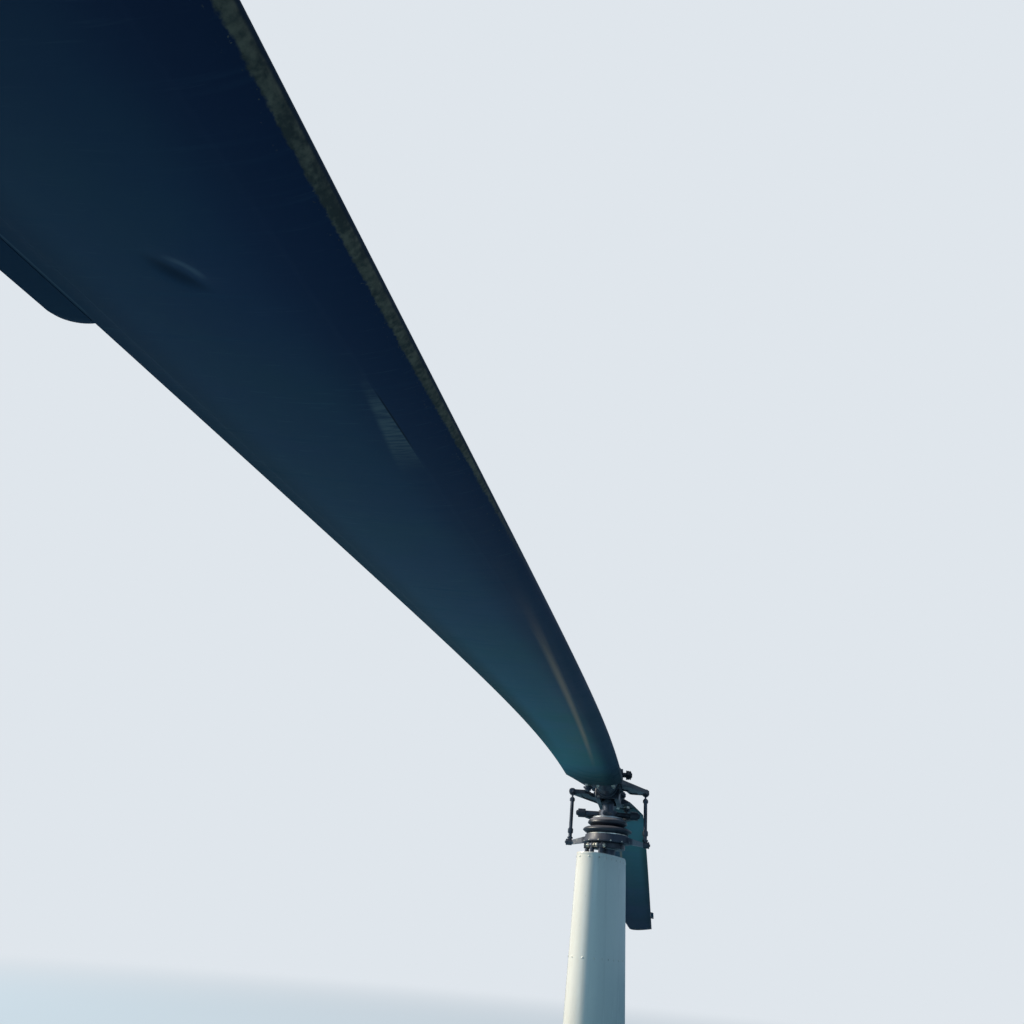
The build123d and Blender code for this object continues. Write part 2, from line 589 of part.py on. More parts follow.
def make_lower_swashplate():
    """Ring that doesn't turn, seated on the ball, with a forked lug over each push rod."""
    inner = SWASH_BORE_RADIUS
    plate = turned((inner, LOWER_FLANGE_BASE), (LOWER_FLANGE_RADIUS, LOWER_FLANGE_BASE),
                   (LOWER_FLANGE_RADIUS, LOWER_FLANGE_TOP), (SWASH_NECK_RADIUS, LOWER_FLANGE_TOP),
                   (SWASH_NECK_RADIUS, SWASH_NECK_TOP), (inner, SWASH_NECK_TOP))
    half = LUG_GAP / 2
    reach = ROD_CIRCLE + ROD_EYE_RADIUS
    base = LUG_LEVEL - ROD_EYE_RADIUS
    for turn in ROD_TURNS:
        lug = block((SWASH_NECK_RADIUS - LUG_CHEEK, reach), (-half - LUG_CHEEK, half + LUG_CHEEK),
                    (base, LOWER_FLANGE_TOP))
        slot = block((ROD_CIRCLE - ROD_EYE_RADIUS - BITE, 2 * reach), (-half, half),
                     (base - BITE, LOWER_FLANGE_TOP + BITE))
        hole = bar((ROD_CIRCLE, -reach, LUG_LEVEL), (ROD_CIRCLE, reach, LUG_LEVEL),
                   ROD_BOLT_RADIUS + RUNNING_FIT)
        plate += Rot(0, 0, turn) * lug
        plate -= Rot(0, 0, turn) * (slot + hole)
    return plate - Pos(0, 0, BALL_LEVEL) * Sphere(BALL_RADIUS + RUNNING_FIT)


def make_lug_bolts():
    """The three bolts through the lower swashplate's lugs."""
    head = LUG_GAP / 2 + LUG_CHEEK
    bolt = make_cross_bolt(ROD_CIRCLE, LUG_LEVEL, ROD_BOLT_RADIUS, BOLT_HEAD_RADIUS, head,
                           head + BOLT_HEAD_THICKNESS)
    return Compound([Rot(0, 0, turn) * bolt for turn in ROD_TURNS])


def make_upper_swashplate():
    """Ring that turns with the shaft, with an arm under each pitch link and a lug for the drive link."""
    bore = SWASH_NECK_RADIUS + RUNNING_FIT
    rim = UPPER_RIM_RADIUS - UPPER_TOP_RADIUS
    plate = turned((bore, UPPER_BASE), (UPPER_RIM_RADIUS, UPPER_BASE), (UPPER_RIM_RADIUS, UPPER_BASE + rim),
                   (UPPER_TOP_RADIUS, UPPER_TOP), (bore, UPPER_TOP))
    eye_start = LINK_Y - LINK_LOWER_WIDTH / 2 - SEAT_GAP
    eye_end = LINK_Y + LINK_LOWER_WIDTH / 2 + SEAT_GAP
    middle = (UPPER_TOP + UPPER_BASE) / 2
    root = Plane(origin=(LINK_X / 2, ARM_ROOT_Y, middle), x_dir=(1, 0, 0), z_dir=(0, 1, 0))
    end = Plane(origin=(LINK_X, eye_start, LOWER_JOINT_LEVEL), x_dir=(1, 0, 0), z_dir=(0, 1, 0))
    arm = loft([root * Rectangle(LINK_X, ARM_ROOT_HEIGHT), end * Rectangle(ARM_END, ARM_END)], ruled=True)
    arm += bar((LINK_X, eye_start, LOWER_JOINT_LEVEL), (LINK_X, eye_end, LOWER_JOINT_LEVEL), LINK_PIN_RADIUS)
    arm += bar((LINK_X, eye_end, LOWER_JOINT_LEVEL),
               (LINK_X, eye_end + STUD_HEAD_THICKNESS, LOWER_JOINT_LEVEL), STUD_HEAD_RADIUS)
    plate += arm
    plate += Rot(0, 0, 180) * arm
    half = DRIVE_LINK_WIDTH / 2 + SEAT_GAP
    x = drive_link_x()
    lug = block((x - DRIVE_EYE_RADIUS, -UPPER_TOP_RADIUS + rim), (half, half + LUG_CHEEK),
                (UPPER_BASE, drive_pin_level() + DRIVE_EYE_RADIUS))
    plate += both_sides(lug)
    reach = half + LUG_CHEEK
    return plate + bar((x, -reach, drive_pin_level()), (x, reach, drive_pin_level()), DRIVE_PIN_RADIUS)


def drive_link_x():
    """Where the drive link stands: midway through the arc of the fork's pin."""
    return -FORK_REACH * (1 + math.cos(math.radians(FORK_REST))) / 2


def drive_pin_level():
    """Level of the drive link's lower pin in the swashplate's lug."""
    return UPPER_BASE + DRIVE_EYE_RADIUS


def fork_pin_level():
    """Level of the fork's pin with the collective down."""
    return YOKE_LEVEL - FORK_REACH * math.sin(math.radians(FORK_REST))


def make_drive_link():
    """Short link from the upper swashplate's lug up to the drive fork."""
    x = drive_link_x()
    half = DRIVE_LINK_WIDTH / 2
    low, high = drive_pin_level(), fork_pin_level()
    link = bar((x, -half, low), (x, half, low), DRIVE_EYE_RADIUS)
    link += bar((x, -half, high), (x, half, high), DRIVE_EYE_RADIUS)
    link += block((x - half, x + half), (-half, half), (low, high))
    link -= bar((x, -half, low), (x, half, low), DRIVE_PIN_RADIUS + RUNNING_FIT)
    return link - bar((x, -half, high), (x, half, high), DRIVE_EYE_BORE)


def make_drive_yoke():
    """Clamp on the shaft with an arm to each side, whose ends carry the drive fork."""
    bore = SHAFT_RADIUS + RUNNING_FIT
    yoke = ring(bore, YOKE_RADIUS, YOKE_LEVEL - YOKE_HEIGHT / 2, YOKE_LEVEL + YOKE_HEIGHT / 2)
    boss_end = YOKE_ARM_REACH + FORK_BOSS_WIDTH + 2 * SEAT_GAP
    reaches = (YOKE_ARM_START, YOKE_ARM_REACH, boss_end, boss_end + BOLT_HEAD_THICKNESS)
    points = [(0, y, YOKE_LEVEL) for y in reaches]
    arm = bar(points[0], points[1], YOKE_ARM_RADIUS)
    arm += bar(points[1], points[2], FORK_PIN_RADIUS)
    arm += bar(points[2], points[3], YOKE_ARM_RADIUS)
    return yoke + both_sides(arm)


def make_drive_fork():
    """Fork hinged on the yoke's ends, its two arms meeting at the drive link."""
    start = YOKE_ARM_REACH + SEAT_GAP
    end = start + FORK_BOSS_WIDTH
    gap = DRIVE_LINK_WIDTH / 2 + BOLT_HEAD_THICKNESS / 2
    circles = Pos(-YOKE_ARM_RADIUS - FORK_BAR_RADIUS, start + FORK_BAR_RADIUS) * Circle(FORK_BAR_RADIUS)
    circles += Pos(-FORK_REACH, gap + FORK_BAR_RADIUS) * Circle(FORK_BAR_RADIUS)
    arm = Pos(0, 0, -FORK_BAR_RADIUS) * extrude(make_hull(circles.edges()), 2 * FORK_BAR_RADIUS)
    fork = arm + bar((0, start, 0), (0, end, 0), FORK_BOSS_RADIUS)
    fork += bar((-FORK_REACH, 0, 0), (-FORK_REACH, gap + FORK_BAR_RADIUS, 0), DRIVE_PIN_RADIUS)
    fork -= bar((0, 0, 0), (0, 2 * end, 0), FORK_PIN_RADIUS + RUNNING_FIT)
    return Pos(0, 0, YOKE_LEVEL) * Rot(0, -FORK_REST, 0) * both_sides(fork)


def boot_line(inset):
    """One face of the boot's wall: arcs over its domes, and straight lines in from each rim to the next."""
    line = []
    feet = [dome[:2] for dome in BOOT_DOMES[1:]] + [BOOT_FOOT]
    for dome, foot in zip(BOOT_DOMES, feet):
        crown, half_way, rim = [(dome[k + 1] - inset, dome[k]) for k in (0, 2, 4)]
        line += [ThreePointArc(crown, half_way, rim), Line(rim, (foot[1] - inset, foot[0]))]
    return line


def make_boot():
    """Rubber bellows with two domed folds."""
    top, foot = BOOT_DOMES[0], BOOT_FOOT
    ends = [Line((radius, level), (radius - BOOT_WALL, level)) for level, radius in (top[:2], foot)]
    return revolve(make_face(Plane.XZ * Curve(boot_line(0.0) + boot_line(BOOT_WALL) + ends)), Axis.Z)


def make_pitch_link():
    """Upright link: a snug eye on the swashplate's stud and a wide eye round the horn's bolt."""
    x, y = LINK_X + LINK_UPPER_SHIFT_X, LINK_Y + LINK_UPPER_SHIFT_Y
    top = HORN_PIN_LEVEL + LINK_UPPER_SHIFT_Z
    half = LINK_LOWER_WIDTH / 2
    lower = ((LINK_X, LINK_Y - half, LOWER_JOINT_LEVEL), (LINK_X, LINK_Y + half, LOWER_JOINT_LEVEL))
    upper = ((x - LINK_UPPER_WIDTH / 2, y, top), (x + LINK_UPPER_WIDTH / 2, y, top))
    neck = top - LINK_UPPER_EYE - LINK_RADIUS
    link = bar((LINK_X, LINK_Y, LOWER_JOINT_LEVEL), (x, y, neck), LINK_RADIUS)
    link += bar((x, y, neck), (x, y, top - LINK_UPPER_BORE - BITE), LINK_NECK_RADIUS)
    link += bar(*lower, LINK_LOWER_EYE) + bar(*upper, LINK_UPPER_EYE)
    return link - bar(*lower, LINK_PIN_RADIUS + RUNNING_FIT) - bar(*upper, LINK_UPPER_BORE)


save("mast_foot", make_foot())
save("mast_tube", ring(MAST_RADIUS - MAST_WALL, MAST_RADIUS, FOOT + FOOT_THICKNESS, MAST_TOP))
bearing_bore, bearing_outside = SHAFT_RADIUS + RUNNING_FIT, MAST_RADIUS - MAST_WALL - RUNNING_FIT
bearing_bases = (FOOT + FOOT_THICKNESS, MAST_TOP - BEARING_HEIGHT)
save("mast_bearings", Compound([ring(bearing_bore, bearing_outside, base, base + BEARING_HEIGHT)
                                for base in bearing_bases]))
save("fairing_shell", make_fairing_shell(), FAIRING_TURN)
for rib_name, rib_depth, rod_hole_radius in RIBS:
    save(f"fairing_rib_{rib_name}", make_fairing_rib(rib_depth, rod_hole_radius), FAIRING_TURN)

save("slider_sleeve", make_sleeve())
save("lower_swashplate", make_lower_swashplate(), FAIRING_TURN)
save("lug_bolts", make_lug_bolts(), FAIRING_TURN)
for rod_name, rod_turn in zip(("left", "centre", "right"), ROD_TURNS):
    save(f"push_rod_{rod_name}", make_push_rod(), FAIRING_TURN + rod_turn)

save("rotor_shaft", make_shaft())
save("boot_cap", ring(SHAFT_RADIUS + RUNNING_FIT, CAP_RADIUS, CAP_LEVEL, CAP_LEVEL + CAP_THICKNESS))
save("drive_yoke", make_drive_yoke())
save("drive_fork", make_drive_fork())
save("upper_swashplate", make_upper_swashplate())
save("drive_link", make_drive_link())
save("swash_boot", make_boot())

save("hub", make_hub())
save("teeter_bolt", make_cross_bolt(0, TEETER_RISE, TEETER_BOLT_RADIUS, TEETER_KNOB_RADIUS,
                                    TEETER_KNOB_START, TEETER_KNOB_END))
coning_head_start = CHEEK_INSIDE + CHEEK_THICKNESS + CONING_BOSS_LENGTH
save("coning_bolts", Compound([
    make_cross_bolt(x, 0, CONING_BOLT_RADIUS, CONING_HEAD_RADIUS, coning_head_start,
                    coning_head_start + CONING_HEAD_THICKNESS)
    for x in (-CONING_OFFSET, CONING_OFFSET)]))

BLADE_PIECES = (("pitch_link", make_pitch_link), ("spindle", make_spindle), ("root_seal", make_root_seal),
                ("root_grip", make_root_grip), ("pitch_horn", make_pitch_horn), ("blade", make_blade),
                ("tip_cap", make_tip_cap), ("trim_tab", make_trim_tab))
for piece_name, make_piece in BLADE_PIECES:
    piece = make_piece()
    for letter, blade_turn in (("a", 0.0), ("b", 180.0)):
        save(f"{piece_name}_{letter}", piece, blade_turn)
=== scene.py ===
import math

import bmesh
import bpy
import numpy as np
from mathutils import Matrix


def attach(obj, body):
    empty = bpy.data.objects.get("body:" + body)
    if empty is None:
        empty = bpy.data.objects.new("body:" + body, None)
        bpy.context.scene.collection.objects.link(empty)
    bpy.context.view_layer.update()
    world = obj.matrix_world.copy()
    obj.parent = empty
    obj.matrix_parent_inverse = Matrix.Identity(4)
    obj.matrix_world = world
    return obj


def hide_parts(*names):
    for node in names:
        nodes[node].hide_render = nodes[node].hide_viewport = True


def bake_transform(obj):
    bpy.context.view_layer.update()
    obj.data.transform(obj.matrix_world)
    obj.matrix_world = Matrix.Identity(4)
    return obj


# Main rotor of a light helicopter, dressed from the mast's foot up to the blade tips.
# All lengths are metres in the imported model's frame: the foot's underside is at the origin,
# +Z runs up the mast and blade A lies along +X.

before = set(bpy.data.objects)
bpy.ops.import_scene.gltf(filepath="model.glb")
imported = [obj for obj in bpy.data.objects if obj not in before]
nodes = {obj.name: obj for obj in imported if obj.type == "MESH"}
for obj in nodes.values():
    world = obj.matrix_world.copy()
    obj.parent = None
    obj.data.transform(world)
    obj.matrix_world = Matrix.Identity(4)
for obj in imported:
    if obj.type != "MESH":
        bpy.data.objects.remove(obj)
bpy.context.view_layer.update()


# The foot is a turned steel flange that eight bolts hold to the gearbox. It is painted black,
# oil from the gearbox has run over it, and its bolt holes stay open for the bolts.
class Flow:
    """A shader socket: arithmetic on it adds Math nodes, and make() adds any other node."""

    def __init__(self, tree, socket):
        self.tree = tree
        self.socket = socket

    def make(self, kind, settings, inputs, output=0):
        """A node of that kind. Its settings are set first, then its sockets' values or links."""
        node = self.tree.nodes.new("ShaderNode" + kind)
        for name, value in settings.items():
            setattr(node, name, value)
        for name, value in inputs.items():
            if isinstance(value, Flow):
                self.tree.links.new(value.socket, node.inputs[name])
            else:
                node.inputs[name].default_value = value
        return Flow(self.tree, node.outputs[output])

    def maths(self, operation, first, second):
        return self.make("Math", {"operation": operation}, {0: first, 1: second})

    def __add__(self, other):
        return self.maths("ADD", self, other)

    __radd__ = __add__

    def __sub__(self, other):
        return self.maths("SUBTRACT", self, other)

    def __rsub__(self, other):
        return self.maths("SUBTRACT", other, self)

    def __mul__(self, other):
        return self.maths("MULTIPLY", self, other)

    __rmul__ = __mul__

    def __abs__(self):
        return self.maths("ABSOLUTE", self, 0.0)

    def lower(self, other):
        return self.maths("MINIMUM", self, other)

    def higher(self, other):
        return self.maths("MAXIMUM", self, other)

    def step(self, low, high):
        """0 below low, 1 above high and an S-curve between them."""
        return self.make("MapRange", {"interpolation_type": "SMOOTHSTEP"},
                         {0: self, 1: low, 2: high})

    def fall(self, low, high):
        """1 below low, 0 above high and an S-curve between them."""
        return 1.0 - self.step(low, high)

    def stretch(self, scale):
        """The point's coordinates, each times its own scale."""
        return self.make("VectorMath", {"operation": "MULTIPLY"}, {0: self, 1: scale})

    def part(self, axis):
        """One coordinate of the point."""
        return self.make("SeparateXYZ", {}, {0: self}, "XYZ".index(axis))

    def length(self):
        """The point's distance from the origin."""
        return self.make("VectorMath", {"operation": "LENGTH"}, {0: self}, 1)

    def upward(self):
        """How far the surface faces up, from -1 to 1."""
        return self.make("NewGeometry", {}, {}, 1).part("Z")

    def kept(self, name):
        """The number that the mesh keeps on its points under that name."""
        return self.make("Attribute", {"attribute_name": name}, {}, 2)

    def grain(self, scale, detail=4.0):
        """Cloudy noise from 0 to 1, with that many spots to the metre."""
        return self.make("TexNoise", {}, {"Vector": self, "Scale": scale, "Detail": detail,
                                          "Roughness": 0.55})

    def blend(self, first, second):
        """The first colour where this socket is 0 and the second where it is 1."""
        return self.make("Mix", {"data_type": "RGBA"}, {0: self, 6: first, 7: second}, 2)


def rgb(red, green, blue):
    """A colour with its opacity."""
    return (red, green, blue, 1.0)


def finish(name, recipe, bump=0.001, **constants):
    """A material whose recipe takes the object's own point and returns the sockets that vary."""
    material = bpy.data.materials.new(name)
    material.use_nodes = True
    tree = material.node_tree
    shader = tree.nodes["Principled BSDF"]
    for socket, value in constants.items():
        shader.inputs[socket.replace("_", " ")].default_value = value
    point = Flow(tree, tree.nodes.new("ShaderNodeTexCoord").outputs["Object"])
    varying = recipe(point)
    if "Height" in varying:
        height = varying.pop("Height")
        varying["Normal"] = height.make("Bump", {}, {"Height": height, "Distance": bump})
    for socket, flow in varying.items():
        tree.links.new(flow.socket, shader.inputs[socket])
    return material


def dress(material, *names):
    """Gives CAD nodes that material."""
    for name in names:
        nodes[name].data.materials.clear()
        nodes[name].data.materials.append(material)


def steel_recipe(point):
    """Dark steel: turned streaks round it, oil stains and a little rust in the low spots."""
    stain = point.grain(9.0).step(0.42, 0.68)
    streak = point.stretch((1.0, 1.0, 30.0)).grain(22.0, 3.0)
    rust = (point.grain(34.0, 6.0) * point.grain(5.0)).step(0.30, 0.42)
    steel = stain.blend(rgb(0.070, 0.082, 0.105), rgb(0.030, 0.034, 0.042))
    return {"Base Color": (rust * 0.7).blend(steel, rgb(0.115, 0.052, 0.022)),
            "Roughness": 0.38 + 0.20 * stain + 0.12 * streak + 0.2 * rust,
            "Height": streak * 0.25 + rust * 0.5}


def black_recipe(point):
    """Satin black paint with grey dust, fine orange peel and small chips down to the metal."""
    dust = point.grain(7.0, 5.0).step(0.38, 0.72)
    chip = (point.grain(120.0, 3.0) * point.grain(18.0, 2.0)).step(0.395, 0.43)
    peel = point.grain(420.0, 2.0)
    paint = (0.55 * dust).blend(rgb(0.009, 0.014, 0.026), rgb(0.020, 0.030, 0.048))
    return {"Base Color": chip.blend(paint, rgb(0.26, 0.26, 0.25)),
            "Roughness": 0.36 + 0.26 * dust,
            "Metallic": chip * 0.8,
            "Height": peel * 0.15 - chip * 0.6}


dark_steel = finish("oiled_steel", steel_recipe, 0.0006, Metallic=0.85)
black_paint = finish("satin_black", black_recipe, 0.0004)
dress(black_paint, "mast_foot")


# The mast tube is a drawn steel tube pressed into the foot, with a bronze bearing ring in each
# end. The sleeve of the swashplate slides on its upper part, which is bright from that.
def bronze_recipe(point):
    """Bronze with fine turning marks and brown tarnish."""
    tarnish = point.grain(14.0).step(0.4, 0.7)
    mark = point.stretch((1.0, 1.0, 40.0)).grain(30.0, 2.0)
    return {"Base Color": tarnish.blend(rgb(0.48, 0.33, 0.14), rgb(0.21, 0.13, 0.06)),
            "Roughness": 0.26 + 0.2 * tarnish,
            "Height": mark}


dress(dark_steel, "mast_tube")
dress(finish("bronze", bronze_recipe, 0.0003, Metallic=1.0), "mast_bearings")


# The push rods are steel tubes with an eye at each end, and stand in the fairing's nose. The ribs
# that carry the fairing are aluminium plates clamped round the mast.
def aluminium_recipe(point):
    """Machined aluminium: fine tool marks, grey oxide clouds and handling stains."""
    oxide = point.grain(11.0, 5.0).step(0.35, 0.7)
    mark = point.stretch((1.0, 1.0, 12.0)).grain(60.0, 3.0)
    return {"Base Color": oxide.blend(rgb(0.52, 0.53, 0.54), rgb(0.30, 0.31, 0.32)),
            "Roughness": 0.34 + 0.2 * oxide + 0.1 * mark,
            "Height": mark}


aluminium = finish("bare_aluminium", aluminium_recipe, 0.0003, Metallic=0.9)
dress(aluminium, "fairing_rib_base", "fairing_rib_middle", "fairing_rib_top")
dress(dark_steel, "push_rod_left", "push_rod_centre", "push_rod_right")


# The fairing is a drop-shaped shell of thin sheet, screwed to three ribs and joined along its
# tail. It is painted glossy cream, with rain streaks and grey grime towards its base.
def merge(parts):
    """Points and faces of several grids as one pair."""
    points, faces, count = [], [], 0
    for some_points, some_faces in parts:
        points.append(some_points)
        faces.append(some_faces + count)
        count += len(some_points)
    return np.concatenate(points), np.concatenate(faces)


def sheet_faces(rows, columns, ring=True):
    """Quads of a grid of points, joined up round its columns where it is a ring."""
    row, column = np.meshgrid(np.arange(rows - 1), np.arange(columns - (not ring)), indexing="ij")
    after = (column + 1) % columns
    corners = (row * columns + column, row * columns + after,
               (row + 1) * columns + after, (row + 1) * columns + column)
    return np.stack(corners, -1).reshape(-1, 4)


def piece(name, parts, material, body, sharp=32.0, replaces=()):
    """A mesh piece at the origin from grids: doubles merged, normals outward, riding on a body."""
    points, faces = merge(parts)
    mesh = bpy.data.meshes.new(name)
    mesh.from_pydata(points.tolist(), [], faces.tolist())
    shape = bmesh.new()
    shape.from_mesh(mesh)
    bmesh.ops.remove_doubles(shape, verts=shape.verts, dist=2e-6)
    bmesh.ops.recalc_face_normals(shape, faces=shape.faces)
    shape.to_mesh(mesh)
    shape.free()
    mesh.shade_smooth()
    mesh.set_sharp_from_angle(angle=math.radians(sharp))
    mesh.materials.append(material)
    thing = bpy.data.objects.new(name, mesh)
    bpy.context.scene.collection.objects.link(thing)
    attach(thing, body)
    if replaces:
        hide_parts(*replaces)
    return thing


def lathe(outline, origin, axis, sides=24):
    """A turned grid. Each outline row is (distance along the axis, radius, how hexagonal, 0 to 1):
    the radius is carried round the axis, and times 1 / cos(angle from the nearest flat) where it
    is hexagonal."""
    table = np.array(outline, float)
    along, radius, corner = (table[:, k, None] for k in range(3))
    angle = np.arange(sides) * 2 * np.pi / sides
    hexagon = 1 / np.cos(angle % (np.pi / 3) - np.pi / 6)
    reach = radius * (1 + corner * (hexagon - 1))
    forward = np.array(axis, float) / np.linalg.norm(axis)
    helper = np.array((0.0, 0.0, 1.0)) if abs(forward[2]) < 0.9 else np.array((1.0, 0.0, 0.0))
    side = np.cross(helper, forward)
    side /= np.linalg.norm(side)
    up = np.cross(forward, side)
    points = (np.array(origin) + along[..., None] * forward
              + (reach * np.cos(angle))[..., None] * side + (reach * np.sin(angle))[..., None] * up)
    return points.reshape(-1, 3), sheet_faces(len(table), sides)


def hex_bolt(size, height):
    """Outline of a washer and a bolt head of that half width, its corners turned off. Its height
    is about 1.3 times that share of the half width."""
    washer, lift = size * 1.3, size * 0.16
    top = lift + size * height * 1.3
    return ((0, 0, 0), (0, washer, 0), (lift, washer, 0), (lift, size, 1), (top * 0.8, size, 1),
            (top, size * 0.93, 0), (top, size * 0.5, 0), (top - size * 0.08, size * 0.35, 0),
            (top - size * 0.08, 0, 0))


def round_screw(size):
    """Outline of a low domed screw head with a dimple for the driver."""
    return ((-size * 0.3, 0, 0), (-size * 0.3, size, 0), (size * 0.12, size, 0),
            (size * 0.34, size * 0.72, 0), (size * 0.42, size * 0.36, 0),
            (size * 0.2, size * 0.24, 0), (size * 0.2, 0, 0))


def cream_recipe(point):
    """Cream gloss paint: rain streaks down it, grime at its base and round the swashplate."""
    height = point.part("Z")
    streak = point.stretch((1.0, 1.0, 0.05)).grain(46.0, 5.0).step(0.50, 0.72)
    cloud = point.grain(5.0, 5.0)
    low = (height + 0.10 * cloud).fall(0.10, 0.38)
    high = (height + 0.05 * cloud).step(0.66, 0.76)
    grime = (0.22 * streak * (0.5 + high) + 0.34 * low * cloud + 0.10 * high).lower(0.6)
    speck = point.grain(210.0, 2.0).step(0.71, 0.76)
    paint = grime.blend(rgb(0.86, 0.83, 0.75), rgb(0.30, 0.28, 0.24))
    return {"Base Color": (0.5 * speck).blend(paint, rgb(0.22, 0.17, 0.12)),
            "Roughness": 0.22 + 0.5 * grime + 0.2 * speck,
            "Height": cloud * 0.4 + point.grain(300.0, 2.0) * 0.05}


FAIRING_TURN = math.radians(-42.0)
FAIRING_TOP, FAIRING_BASE = 0.722, 0.045
TOP_SECTION = np.array((0.072, 0.055, 0.097))
BASE_SECTION = np.array((0.091, 0.0645, 0.120))
NOSE_SWEEP = math.radians(100.0)
FLANK_BULGE, TAIL_HALF = 0.008, 0.0032
CORNER_ROUND, SHOULDER_LEVEL, RIM_LEVEL = 0.016, 0.662, 0.712
SHEET_THICK, RIB_LEVELS, SCREW_SIZE, SCREW_STEP = 0.0022, (0.054, 0.384, 0.707), 0.0032, 6


def circle_through(start, middle, end, share):
    """Points on the circle through three points: centre from the two chords' bisectors, then the
    angle runs from the start by way of the middle to the end."""
    a, b, c = (np.array(p, float) for p in (start, middle, end))
    matrix = 2 * np.array((b - a, c - a))
    centre = np.linalg.solve(matrix, np.array((b @ b - a @ a, c @ c - a @ a)))
    radius = np.linalg.norm(a - centre)
    first, mid, last = (np.arctan2(*(p - centre)[::-1]) for p in (a, b, c))
    mid = first + (mid - first + np.pi) % (2 * np.pi) - np.pi
    last = mid + (last - mid + np.pi) % (2 * np.pi) - np.pi
    angle = first + (last - first) * share
    return centre[:, None] + radius * np.array((np.cos(angle), np.sin(angle)))


def fairing_line(level, outward=0.0, around=64):
    """The fairing's outline at a level: an arc over the nose, then one down each flank to the
    tail. Returns the points from the tail round the nose and back to the tail. Towards the top
    they drop at the tail by radius - root(radius squared - reach squared), which rounds that
    corner."""
    share = (level - FAIRING_BASE) / (FAIRING_TOP - FAIRING_BASE)
    nose_at, nose_radius, tail_at = BASE_SECTION + share * (TOP_SECTION - BASE_SECTION)
    radius = nose_radius + outward
    sweep = np.linspace(-NOSE_SWEEP, NOSE_SWEEP, around // 2)
    nose = np.array((nose_at + radius * np.cos(sweep), radius * np.sin(sweep)))
    shoulder = nose[:, -1]
    tail = np.array((-tail_at - outward, TAIL_HALF + outward / 2))
    middle = (shoulder + tail) / 2 + np.array((0, FLANK_BULGE))
    flank = circle_through(shoulder, middle, tail, np.linspace(0, 1, around // 2)[1:])
    other = (flank * np.array(((1,), (-1,))))[:, ::-1]
    x, y = np.concatenate((other, nose, flank), 1)
    reach = np.clip(CORNER_ROUND - (x + tail_at + outward), 0, CORNER_ROUND * 0.98)
    drop = CORNER_ROUND - np.sqrt(CORNER_ROUND ** 2 - reach ** 2)
    drop = drop * np.clip((level - SHOULDER_LEVEL) / (RIM_LEVEL - SHOULDER_LEVEL), 0, 1)
    turn_x = x * math.cos(FAIRING_TURN) - y * math.sin(FAIRING_TURN)
    turn_y = x * math.sin(FAIRING_TURN) + y * math.cos(FAIRING_TURN)
    return np.stack((turn_x, turn_y, level - drop), -1)


def fairing_band(profile):
    """A closed band round the fairing: each profile row is (level, distance outside the sheet)."""
    lines = [fairing_line(level, outward, 128) for level, outward in profile + profile[:1]]
    points = np.concatenate(lines)
    return points, sheet_faces(len(lines), len(lines[0]))


def fairing_screws(level):
    """Screws on every sixth point of the outline at a level, each standing square to the sheet."""
    line = fairing_line(level)
    tangent = np.gradient(line[:, :2], axis=0)
    out = np.stack((tangent[:, 1], -tangent[:, 0], np.zeros(len(line))), -1)
    places = range(4, len(line) - 3, SCREW_STEP)
    return [lathe(round_screw(SCREW_SIZE), line[k], out[k], 12) for k in places]


def bright_recipe(point):
    """Cadmium plating, pale gold with duller clouds."""
    dull = point.grain(60.0).step(0.4, 0.7)
    return {"Base Color": dull.blend(rgb(0.66, 0.64, 0.56), rgb(0.36, 0.34, 0.29)),
            "Roughness": 0.24 + 0.25 * point.grain(90.0)}


cream_paint = finish("cream_gloss_paint", cream_recipe, 0.0004, Coat_Weight=0.35,
                     Coat_Roughness=0.12)
bright = finish("cadmium_bright", bright_recipe, Metallic=1.0)
levels = np.linspace(FAIRING_BASE, FAIRING_TOP, 12)
shell_profile = [(level, 0.0) for level in levels]
shell_profile += [(level, -SHEET_THICK) for level in levels[::-1]]
piece("fairing_sheet", [fairing_band(shell_profile)], cream_paint, "mast", 40.0,
      ("fairing_shell",))
ROUND_RIM = ((0.7222, -0.0024), (0.7228, -0.0016), (0.7230, -0.0008), (0.7226, 0.0004),
             (0.7212, 0.0009), (0.7160, 0.0009), (0.7146, 0.0004), (0.7146, -0.0001),
             (0.7190, -0.0001), (0.7200, -0.0024))
piece("fairing_top_rim", [fairing_band(ROUND_RIM)], cream_paint, "mast")
BASE_STRIP = ((0.0445, -0.0024), (0.0440, -0.0008), (0.0446, 0.0010), (0.0462, 0.0014),
              (0.0600, 0.0014), (0.0616, 0.0008), (0.0620, -0.0001), (0.0470, -0.0001))
piece("fairing_base_strip", [fairing_band(BASE_STRIP)], cream_paint, "mast")
fairing_heads = [head for level in RIB_LEVELS for head in fairing_screws(level)]
piece("fairing_screws", fairing_heads, bright, "mast")


# The swashplate rides on an aluminium sleeve with a black ball. Its lower ring doesn't turn: its
# three forked lugs take the push rods' eyes on cadmium-plated bolts with thin locknuts.
ROD_CIRCLE, ROD_TURNS, ROD_NUT_DROP = 0.074, (-70.0, -42.0, -14.0), 0.034
LUG_LEVEL, LUG_HALF, LUG_NUT = 0.751, 0.0103, (0.0074, 0.72)
ROD_NUT = ((0, 0.0078, 1), (0, 0.0102, 1), (0.0065, 0.0102, 1), (0.0072, 0.0096, 0.6),
           (0.0072, 0.0078, 1), (0, 0.0078, 1))
dress(aluminium, "slider_sleeve")
dress(black_paint, "lower_swashplate")
dress(bright, "lug_bolts")


def outward_at(turn):
    """The directions away from the mast and across that, at a turn about it."""
    return (np.array((math.cos(turn), math.sin(turn), 0)),
            np.array((-math.sin(turn), math.cos(turn), 0)))


